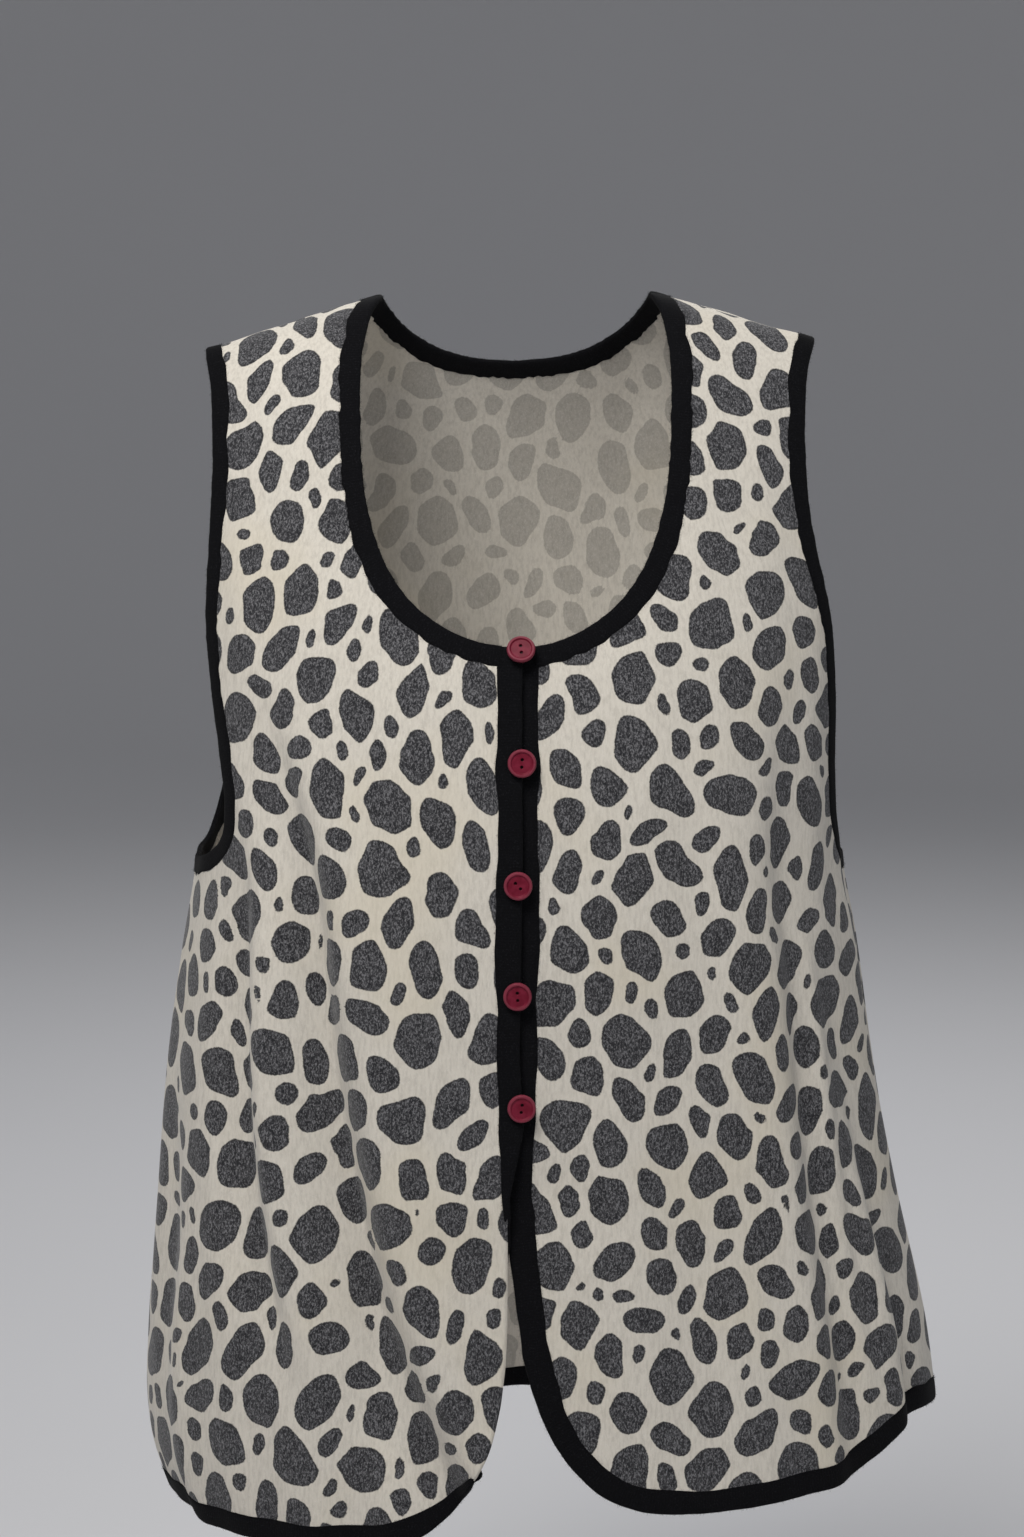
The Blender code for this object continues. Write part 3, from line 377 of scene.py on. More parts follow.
# ---- the garment's edges ----
@dataclass
class Cut:
    """Every edge of the vest, on the body surface: rims of the bindings and seams."""
    form: BodyForm
    neck_tape: float = 0.0105
    arm_tape: float = 0.0090
    hem_tape: float = 0.0118
    front_tape: tuple = (          # height, width on the right front, on the left
        (-0.18, 0.0131, 0.0168), (-0.33, 0.0130, 0.0166), (-0.38, 0.0120, 0.0163),
        (-0.41, 0.0107, 0.0158), (-0.435, 0.0116, 0.0150), (-0.46, 0.0136, 0.0147),
        (-0.49, 0.0150, 0.0144), (-0.52, 0.0155, 0.0142), (-0.60, 0.0150, 0.0134),
        (-0.64, 0.0136, 0.0122), (-0.66, 0.0126, 0.0117), (-0.70, 0.0118, 0.0118))
    underarm: float = 0.310
    hem_side: dict = field(default_factory=lambda: {Side.RIGHT: 0.679, Side.LEFT: 0.629})
    hem_back: float = 0.668
    past_seam: float = 0.08
    laps: dict = field(default_factory=lambda: {Side.RIGHT: 1.0, Side.LEFT: -1.0})
    neck_front: tuple = (
        (0.0000, 0.0745), (0.0120, 0.0812), (0.0300, 0.0843), (0.0600, 0.0848),
        (0.0900, 0.0833), (0.1120, 0.0800), (0.1320, 0.0740), (0.1500, 0.0650),
        (0.1625, 0.0545), (0.1740, 0.0385), (0.1810, 0.0215), (0.1838, 0.0040))
    neck_back: tuple = (
        (0.0000, 0.0745), (0.0090, 0.0705), (0.0210, 0.0615), (0.0330, 0.0440),
        (0.0400, 0.0230), (0.0420, 0.0000))
    arm_front: dict = field(default_factory=lambda: {
        Side.RIGHT: (
            (0.0000, 0.1725), (0.0250, 0.1680), (0.0600, 0.1668), (0.1200, 0.1690),
            (0.1650, 0.1700), (0.2050, 0.1668), (0.2450, 0.1615), (0.2720, 0.1590),
            (0.2900, 0.1612), (0.3020, 0.1685), (0.3080, 0.1757)),
        Side.LEFT: (
            (0.0000, 0.1660), (0.0250, 0.1600), (0.0600, 0.1590), (0.0900, 0.1605),
            (0.1150, 0.1640), (0.1400, 0.1695), (0.1650, 0.1740), (0.1900, 0.1758),
            (0.2200, 0.1768), (0.2600, 0.1765), (0.2880, 0.1778), (0.3030, 0.1808))})
    arm_back: dict = field(default_factory=lambda: {
        Side.RIGHT: (
            (0.0000, 0.1725), (0.0300, 0.1660), (0.0800, 0.1620), (0.1400, 0.1600),
            (0.1900, 0.1610), (0.2400, 0.1640), (0.2750, 0.1670), (0.2950, 0.1710),
            (0.3060, 0.1765)),
        Side.LEFT: (
            (0.0000, 0.1660), (0.0300, 0.1600), (0.0800, 0.1575), (0.1400, 0.1570),
            (0.1900, 0.1595), (0.2400, 0.1635), (0.2750, 0.1675), (0.2950, 0.1725),
            (0.3060, 0.1790))})
    front_edge: dict = field(default_factory=lambda: {   # x, z of the binding's rim
        Side.RIGHT: (
            (0.0035, -0.1820), (0.0035, -0.3000), (0.0035, -0.4300), (0.0060, -0.4600),
            (0.0080, -0.4900), (0.0083, -0.5400), (0.0066, -0.5750), (0.0025, -0.6020),
            (-0.0045, -0.6250), (-0.0150, -0.6430), (-0.0290, -0.6570),
            (-0.0460, -0.6675), (-0.0680, -0.6745), (-0.1000, -0.6785),
            (-0.1400, -0.6795), (-0.1780, -0.6790)),
        Side.LEFT: (
            (-0.0050, -0.1820), (-0.0050, -0.3000), (-0.0060, -0.4430),
            (-0.0058, -0.4860), (-0.0035, -0.5120), (0.0000, -0.5380),
            (0.0050, -0.5720), (0.0110, -0.5930), (0.0195, -0.6130),
            (0.0325, -0.6315), (0.0475, -0.6450), (0.0650, -0.6535),
            (0.0900, -0.6570), (0.1250, -0.6565), (0.1550, -0.6530),
            (0.1850, -0.6480), (0.2010, -0.6400), (0.2130, -0.6300),
            (0.2270, -0.6250))})

    @staticmethod
    def through(points: list) -> Array:
        """A smooth curve through (turn, reach) points, evenly spaced along it."""
        points = np.asarray(points, float)
        length = run_of(points * np.array([TURN_METRES, 1.0]))
        at = np.linspace(0, length[-1], RIM_POINTS)
        return np.stack([smooth(at, length, points[:, 0]), smooth(at, length, points[:, 1])], -1)

    def points_of(self, rows: tuple, side: Side, back: bool = False) -> list:
        """Edge points from (drop, out) rows, with one more mirrored over the shoulder."""
        points = []
        for drop, out in rows:
            reach = float(reach_of(drop))
            points.append((self.form.turn_at(out, side, reach, back), reach))
        return [(points[1][0], -points[1][1])] + points

    def arm_rim(self, side: Side, back: bool) -> Array:
        """An armhole's edge down to the underarm, and a little past the side seam."""
        rows = self.arm_back[side] if back else self.arm_front[side]
        past = -self.past_seam if back else self.past_seam
        low = float(reach_of(self.underarm))
        ends = [(side.value * (SIDE_TURN + on), low) for on in (0.0, past)]
        return self.through(self.points_of(rows, side, back) + ends)

    def neck_rim(self, side: Side, back: bool) -> Array:
        """One side of the neck's edge, from the shoulder to centre."""
        rows = self.neck_back if back else self.neck_front
        return self.through(self.points_of(rows, side, back))

    def front_rim(self, side: Side) -> Array:
        """A front's edge, rounded corner and hem, a little past the side seam."""
        points = [self.form.on_front(x, z) for x, z in self.front_edge[side]]
        hem = float(reach_of(self.hem_side[side]))
        ends = [(side.value * (SIDE_TURN + on), hem) for on in (0.0, self.past_seam)]
        return self.through(points + ends)

    def hem_back_rim(self) -> Array:
        """The back's hem: its drop runs evenly from side to side, plus half a sine."""
        turn = np.linspace(SIDE_TURN - self.past_seam, 3 * SIDE_TURN + self.past_seam, RIM_POINTS)
        share = np.clip((turn - SIDE_TURN) / math.pi, 0.0, 1.0)
        left, right = self.hem_side[Side.LEFT], self.hem_side[Side.RIGHT]
        drop = (left * (1 - share) + right * share
                + (self.hem_back - (left + right) / 2) * np.sin(math.pi * share))
        return np.stack([turn, reach_of(drop)], axis=-1)

    def front_tape_width(self, rim: Array, side: Side) -> Array:
        """Width along a front's binding, read by height from its table."""
        heights, right, left = np.array(self.front_tape)[::-1].T
        z = self.form.surface(rim[:, 0], rim[:, 1], self.laps[side])[:, 2]
        return np.interp(z, heights, right if side is Side.RIGHT else left)


# ---- the spots ----
@dataclass
class FlatMap:
    """Length round the body at each place, so that the print lies on the cloth.

    The length is the running sum of small steps along the folded surface from
    centre front or centre back, kept in a table and read between its rows.
    """
    form: BodyForm
    start: float
    end: float
    columns: int = 900
    rows: int = 240
    far: float = 0.73

    def __post_init__(self) -> None:
        """Measure the table once."""
        turns = np.linspace(self.start, self.end, self.columns)
        reaches = np.linspace(0.0, self.far, self.rows)
        places = self.form.surface(turns[None, :], reaches[:, None])
        steps = np.linalg.norm(np.diff(places, axis=1), axis=-1)
        self.table = np.concatenate([np.zeros((self.rows, 1)), np.cumsum(steps, axis=1)], axis=1)

    def flat(self, turn: Array, reach: Array) -> Array:
        """Cloth coordinates (round, down) in metres, by blending four table entries."""
        a = np.clip((turn - self.start) / (self.end - self.start), 0, 1) * (self.columns - 1)
        b = np.clip(reach / self.far, 0, 1) * (self.rows - 1)
        i = np.minimum(a.astype(int), self.columns - 2)
        j = np.minimum(b.astype(int), self.rows - 2)
        s, t = a - i, b - j
        table = self.table
        low = table[j, i] * (1 - s) + table[j, i + 1] * s
        high = table[j + 1, i] * (1 - s) + table[j + 1, i + 1] * s
        return np.stack([low * (1 - t) + high * t, reach], axis=-1)


@dataclass
class Spots:
    """Pebble-shaped spots laid out by a seeded draw, none closer than a channel.

    Each spot is a circle stretched along its own direction, with a few low
    waves round its edge.  Where two spots come close, each is trimmed back by
    half the channel, and both trims are rounded.
    """
    seed: int
    width: float
    length: float
    channel: float = 0.0037
    round_by: float = 0.0022
    sizes: tuple = (   # radius from, radius to, tries
        (0.0112, 0.0132, 260), (0.0088, 0.0112, 3500), (0.0068, 0.0094, 5500),
        (0.0052, 0.0072, 5500), (0.0040, 0.0052, 2500))
    room: float = 0.0011
    tall: float = 1.16             # spots are this much taller than wide on the whole
    grow: float = 1.14
    margin: float = 0.02           # centres are drawn from this far outside the cloth
    stretch: tuple = (0.62, 1.3)   # the most that one is stretched, and the draw's power
    lean: float = 0.55             # spread of their directions, in radians
    far: tuple = (1.5, 0.014)      # radii and metres from a centre beyond which it counts no more
    ripples: tuple = (             # waves round the edge by cosine and by sine, their sizes
        (1, 1, 0.025, 0.015), (3, 3, 0.034, 0.034), (4, 4, 0.022, 0.022), (6, 7, 0.013, 0.013))

    def __post_init__(self) -> None:
        """Draw the spots, larger ones first; each takes the room that it finds."""
        draw = np.random.default_rng(self.seed)
        tries = sum(count for _, _, count in self.sizes)
        waves_each = 2 * len(self.ripples)
        rows, filled = np.zeros((tries + 1, 5 + waves_each)), 1
        rows[0, :2] = -1.0
        for low, high, count in self.sizes:
            centres = draw.uniform([-self.margin] * 2, (self.width, self.length), (count, 2))
            wanted = draw.uniform(low, high, count)
            stretches = self.tall * (1 + self.stretch[0] * draw.random(count) ** self.stretch[1])
            leans = draw.normal(0.0, self.lean, count)
            waves = draw.normal(0.0, 1.0, (count, waves_each))
            for k in range(count):
                radius = min(self.clear(rows[:filled], centres[k]), wanted[k])
                if radius >= low:
                    rows[filled] = (*centres[k], radius, stretches[k], leans[k], *waves[k])
                    filled += 1
        self.rows = rows[1:filled]
        self.rows[:, 2] *= math.sqrt(self.tall) * self.grow

    def clear(self, rows: Array, centre: Array) -> float:
        """Room round a new centre, measured to all others as upright ovals."""
        apart = np.hypot(rows[:, 0] - centre[0], (rows[:, 1] - centre[1]) / self.tall)
        return float(np.min(apart - rows[:, 2])) - self.room

    def edge_distance(self, spot: Array, flat: Array) -> Array:
        """Distance from a spot's edge, positive outside: the distance from its
        centre less its radius in that direction."""
        x, y, radius, stretch, lean = spot[:5]
        dx, dy = flat[:, 0] - x, flat[:, 1] - y
        angle = np.arctan2(dx, dy) - lean
        long, wide = radius * math.sqrt(stretch), radius / math.sqrt(stretch)
        reach = long * wide / np.sqrt((wide * np.cos(angle)) ** 2 + (long * np.sin(angle)) ** 2)
        ripple = sum(a * by_cos * np.cos(m * angle) + b * by_sin * np.sin(n * angle)
                     for a, b, (m, n, by_cos, by_sin) in zip(spot[5::2], spot[6::2], self.ripples))
        return np.hypot(dx, dy) - reach * (1 + ripple)

    def depth(self, flat: Array) -> Array:
        """How deep each place lies inside a spot, in millimetres, below 0 outside.

        Args:
            flat: cloth coordinates, one row for each place.
        Returns:
            The smaller, softly, of the depth inside the nearest spot and half of
            the lead over the next one less half the channel.
        """
        near, second = np.full((2, len(flat)), self.margin)
        for spot in self.rows:
            reach = spot[2] * self.far[0] + self.far[1]
            hit = np.nonzero(np.all(np.abs(flat - spot[:2]) < reach, axis=1))[0]
            if not len(hit):
                continue
            away = self.edge_distance(spot, flat[hit])
            old = near[hit]
            near[hit] = np.minimum(old, away)
            second[hit] = np.minimum(second[hit], np.maximum(old, away))
        inside, lead = -near, (second - near) / 2 - self.channel / 2
        least = np.minimum(inside, lead)
        gap = np.minimum(np.abs(inside - lead) / self.round_by, 20.0)
        return (least - self.round_by * np.log1p(np.exp(-gap))) * 1000.0


# ---- finishes ----
class Nodes:
    """A short way to wire shader nodes in one material."""

    def __init__(self, name: str) -> None:
        """Start a material with a Principled shader."""
        self.material = bpy.data.materials.new(name)
        self.material.use_nodes = True
        self.tree = self.material.node_tree
        self.shader = self.tree.nodes["Principled BSDF"]

    def add(self, kind: str, inputs: dict | None = None, **settings: object) -> bpy.types.Node:
        """A node, with its settings, constants and links.

        Args:
            kind: the node's type without the ShaderNode prefix.
            inputs: socket name or number to a number, colour or output socket.
            settings: properties of the node.
        Returns:
            The new node.
        """
        node = self.tree.nodes.new("ShaderNode" + kind)
        for name, value in settings.items():
            setattr(node, name, value)
        for socket, value in (inputs or {}).items():
            self.put(node.inputs[socket], value)
        return node

    def own(self, name: str) -> Socket:
        """The piece's own value of that name."""
        return self.add("Attribute", attribute_name=name).outputs["Fac"]

    def finish(self, colour: object, normal: object, **constants: float) -> Material:
        """Give the shader its colour and normal, and its constants by their input's name."""
        for name, value in {"Base Color": colour, "Normal": normal, **constants}.items():
            if value is not None:
                self.put(self.shader.inputs[name], value)
        return self.material

    def put(self, socket: Socket, value: object) -> None:
        """Link an output to a socket, or set its own value."""
        if isinstance(value, Socket):
            self.tree.links.new(value, socket)
        elif isinstance(value, (tuple, list)) and socket.type == "RGBA":
            socket.default_value = (*value, 1.0)[:4]
        else:
            socket.default_value = value

    def math(self, operation: str, a: object, b: object = 0.0) -> Socket:
        """The result of a Math node."""
        return self.add("Math", {0: a, 1: b}, operation=operation).outputs[0]

    def times(self, a: object, b: object) -> Socket:
        """Two values multiplied."""
        return self.math("MULTIPLY", a, b)

    def plus(self, a: object, b: object) -> Socket:
        """Two values added."""
        return self.math("ADD", a, b)

    def mix(self, share: object, a: object, b: object) -> Socket:
        """Two colours mixed by a share."""
        return self.add("Mix", {0: share, 6: a, 7: b}, data_type="RGBA").outputs[2]

    def ramp(self, value: object, low: float, high: float) -> Socket:
        """A soft step from 0 at low to 1 at high."""
        node = self.add("MapRange", {0: value, 1: low, 2: high}, interpolation_type="SMOOTHSTEP")
        return node.outputs[0]

    def place(self, scale: tuple = (1.0, 1.0, 1.0), turn: tuple = (0.0, 0.0, 0.0)) -> Socket:
        """Object coordinates, scaled and turned."""
        where = self.add("TexCoord").outputs["Object"]
        return self.add("Mapping", {"Vector": where, "Scale": scale, "Rotation": turn}).outputs[0]

    def noise(self, vector: object, scale: float, detail: float = 2.0, rough: float = 0.5,
              warp: float = 0.0) -> Socket:
        """A noise value."""
        return self.add("TexNoise", {"Vector": vector, "Scale": scale, "Detail": detail,
                                     "Roughness": rough, "Distortion": warp}).outputs[0]

    def bump(self, height: Socket, strength: float, distance: float,
             **under: Socket) -> Socket:
        """A bump from a height in units of the distance, over another one given as Normal."""
        return self.add("Bump", {"Height": height, "Strength": strength, "Distance": distance,
                                 **under}).outputs[0]


@dataclass(frozen=True)
class Felt:
    """Felted knit: cream ground with a vertical nap, charcoal heather spots."""
    name: str = "felt"
    cream: tuple = (0.70, 0.655, 0.578)
    cream_shade: tuple = (0.57, 0.530, 0.465)
    cream_light: tuple = (0.80, 0.765, 0.705)
    cream_warm: tuple = (0.68, 0.605, 0.455)
    coal: tuple = (0.016, 0.016, 0.019)
    coal_light: tuple = (0.265, 0.262, 0.275)
    coal_edge: tuple = (0.022, 0.021, 0.021)
    edge_step: tuple = (-0.38, 0.34)    # depths in mm between which the print sets in
    rim_step: tuple = (1.5, 0.2)        # and between which its dark rim ends
    # noises: scale, detail, roughness, warp
    ragged: tuple = ((900.0, 2.0), (230.0, 1.0))
    ragged_by: tuple = (0.9, 0.7)       # how far in mm they move the print's edge
    heather: tuple = (1180.0, 2.5, 0.65, 0.5)
    soft_fibre: tuple = (700.0, 2.0)
    nap: tuple = (620.0, 3.0, 0.6)
    clouds: tuple = (34.0, 2.0)
    patches: tuple = (11.0, 2.0)
    down: tuple = (1500.0, 2.0, 0.6, 1.2)
    slant: tuple = (1400.0, 2.0, 0.6, 1.2)
    lumps: tuple = (210.0, 1.5)
    slants: tuple = (0.7, -0.9)         # turns in radians of the slanting fibres
    fibre_bump: tuple = (0.60, 0.0003)  # strength, height in metres
    lump_bump: tuple = (0.22, 0.0006)

    def material(self) -> Material:
        """Build the finish."""
        n = Nodes(self.name)
        flat, fibre = n.place(), n.place((1.0, 1.0, 0.28))
        tossed = n.place((1.0, 1.0, 0.62), (0.5, 0.4, 0.6))
        # the print's edge, made ragged by two noises, in millimetres
        edge = n.own("spot")
        for noise, by in zip(self.ragged, self.ragged_by):
            edge = n.plus(edge, n.times(n.math("SUBTRACT", n.noise(flat, *noise), 0.5), by))
        spot = n.ramp(edge, *self.edge_step)
        rim = n.times(n.ramp(edge, *self.rim_step), spot)
        # heather: short light and dark fibres, two sizes
        short = n.ramp(n.noise(tossed, *self.heather), 0.45, 0.66)
        soft = n.ramp(n.noise(fibre, *self.soft_fibre), 0.40, 0.72)
        coal = n.mix(n.plus(n.times(short, 0.62), n.times(soft, 0.16)), self.coal, self.coal_light)
        coal = n.mix(n.times(rim, 0.55), coal, self.coal_edge)
        # ground: vertical nap, faint lighter fibres, darker clouds and yellowed patches
        nap = n.noise(n.place((1.0, 1.0, 0.22)), *self.nap)
        cream = n.mix(n.ramp(nap, 0.22, 0.66), self.cream_shade, self.cream)
        cloudy = n.ramp(n.noise(flat, *self.clouds), 0.35, 0.75)
        yellowed = n.ramp(n.noise(n.place(turn=(0.3, 0.2, 0.0)), *self.patches), 0.48, 0.72)
        for where, share, tint in ((n.ramp(short, 0.35, 1.0), 0.30, self.cream_light),
                                   (cloudy, 0.12, self.cream_shade),
                                   (yellowed, 0.38, self.cream_warm)):
            cream = n.mix(n.times(where, share), cream, tint)
        # the inside shows the spots as a paler mixed grey
        reverse = n.mix(n.times(spot, 0.75), cream, n.mix(0.55, coal, cream))
        colour = n.mix(n.own("inside"), n.mix(spot, cream, coal), reverse)
        # matted fibres: down the cloth, and two slants across it
        down = n.noise(n.place((1.0, 1.0, 0.16)), *self.down)
        slants = (n.place((1.0, 1.0, 0.20), (0.0, lean, 0.0)) for lean in self.slants)
        rising, falling = (n.noise(slant, *self.slant) for slant in slants)
        fibres = n.math("MAXIMUM", down, n.math("MAXIMUM", rising, falling))
        low = n.bump(n.noise(flat, *self.lumps), *self.lump_bump)
        return n.finish(colour, n.bump(fibres, *self.fibre_bump, Normal=low), **{
            "Roughness": 0.93, "Specular IOR Level": 0.18,
            "Sheen Weight": 0.18, "Sheen Roughness": 0.55})


@dataclass(frozen=True)
class BlackKnit:
    """The bindings: a dense black strip with a fine rib and a little fuzz."""
    name: str = "black_knit"
    dark: tuple = (0.0024, 0.0024, 0.0033)
    light: tuple = (0.021, 0.021, 0.025)
    rib: float = 0.0016     # from one rib to the next
    fibre: tuple = (1300.0, 3.0, 0.65)  # noises: scale, detail, roughness
    wander: tuple = (300.0, 2.0)

    def material(self) -> Material:
        """Build the finish."""
        n = Nodes(self.name)
        flat = n.place()
        fibre = n.noise(flat, *self.fibre)
        wander = n.times(n.noise(flat, *self.wander), 3.0)
        rib = n.math("SINE", n.plus(n.times(n.own("along"), WHOLE_TURN / self.rib), wander))
        light = n.plus(n.times(n.ramp(fibre, 0.52, 0.80), 0.75),
                       n.times(n.ramp(rib, 0.0, 1.0), 0.05))
        normal = n.bump(fibre, 0.6, 0.0003, Normal=n.bump(rib, 0.10, 0.0003))
        return n.finish(n.mix(light, self.dark, self.light), normal, **{
            "Roughness": 0.95, "Specular IOR Level": 0.12,
            "Sheen Weight": 0.02, "Sheen Roughness": 0.5})


@dataclass(frozen=True)
class Burgundy:
    """Glossy burgundy button, its raised rim painted paler: a painted highlight on the rim."""
    name: str = "burgundy"
    face: tuple = (0.138, 0.007, 0.021)
    face_light: tuple = (0.185, 0.014, 0.034)
    # rim: the paler colour on the raised rim, a painted highlight
    rim: tuple = (0.260, 0.060, 0.085)
    # pit: near-black, painted shade in the holes' pits, with the dark binding seen through them
    pit: tuple = (0.012, 0.002, 0.004)
    cloud: tuple = (240.0, 2.0)         # noises: scale, detail
    scratch: tuple = (1500.0, 2.0)

    def material(self) -> Material:
        """Build the finish."""
        n = Nodes(self.name)
        cloud = n.ramp(n.noise(n.place(), *self.cloud), 0.35, 0.68)
        face = n.mix(cloud, self.face, self.face_light)
        # the raised rim's share is painted paler, a painted highlight
        colour = n.mix(n.times(n.own("rim"), 0.45), face, self.rim)
        scratch = n.bump(n.noise(n.place(), *self.scratch), 0.08, 0.0001)
        # the holes' pits are painted near-black: painted shade
        return n.finish(n.mix(n.own("pit"), colour, self.pit), scratch, **{
            "Roughness": 0.42, "Specular IOR Level": 0.16})


@dataclass(frozen=True)
class Plain:
    """A plain finish of one colour, broken up a little by noise."""
    name: str
    colour: tuple
    other: tuple
    scale: float

    def material(self) -> Material:
        """Build the finish."""
        n = Nodes(self.name)
        share = n.noise(n.place(), self.scale, 2.0)
        return n.finish(n.mix(share, self.colour, self.other), None, Roughness=0.9)


# ---- meshes ----
def piece(name: str, points: Array, quads: Array, material: Material,
          values: dict | None = None) -> Object:
    """A mesh object at the origin, smooth shaded.

    Args:
        name: the piece's name.
        points: places in metres.
        quads: rows of four point numbers, or of three.
        material: its finish.
        values: attribute name to one number for each point.
    Returns:
        The object.
    """
    mesh = bpy.data.meshes.new(name)
    mesh.vertices.add(len(points))
    mesh.vertices.foreach_set("co", np.asarray(points, np.float32).ravel())
    quads = np.asarray(quads, np.int32)
    mesh.loops.add(quads.size)
    mesh.loops.foreach_set("vertex_index", quads.ravel())
    mesh.polygons.add(len(quads))
    starts = np.arange(0, quads.size, quads.shape[1], dtype=np.int32)
    mesh.polygons.foreach_set("loop_start", starts)
    mesh.update(calc_edges=True)
    for key, numbers in (values or {}).items():
        store = mesh.attributes.new(key, "FLOAT", "POINT")
        store.data.foreach_set("value", np.asarray(numbers, np.float32).ravel())
    mesh.shade_smooth()
    mesh.materials.append(material)
    made = bpy.data.objects.new(name, mesh)
    bpy.context.scene.collection.objects.link(made)
    return made


def grid_quads(rows: int, columns: int, ring: bool = False) -> Array:
    """Quads of a grid of points, closed round its columns if it is a ring."""
    index = np.arange(rows * columns).reshape(rows, columns)
    right = np.roll(index, -1, axis=1) if ring else index[:, 1:]
    left = index if ring else index[:, :-1]
    return np.stack([left[:-1], right[:-1], right[1:], left[1:]], axis=-1).reshape(-1, 4)


def weld(made: Object, distance: float = 2e-6) -> None:
    """Merge points that lie together, so poles and ends are closed."""
    work = bmesh.new()
    work.from_mesh(made.data)
    bmesh.ops.remove_doubles(work, verts=work.verts, dist=distance)
    work.to_mesh(made.data)
    work.free()
    made.data.update()


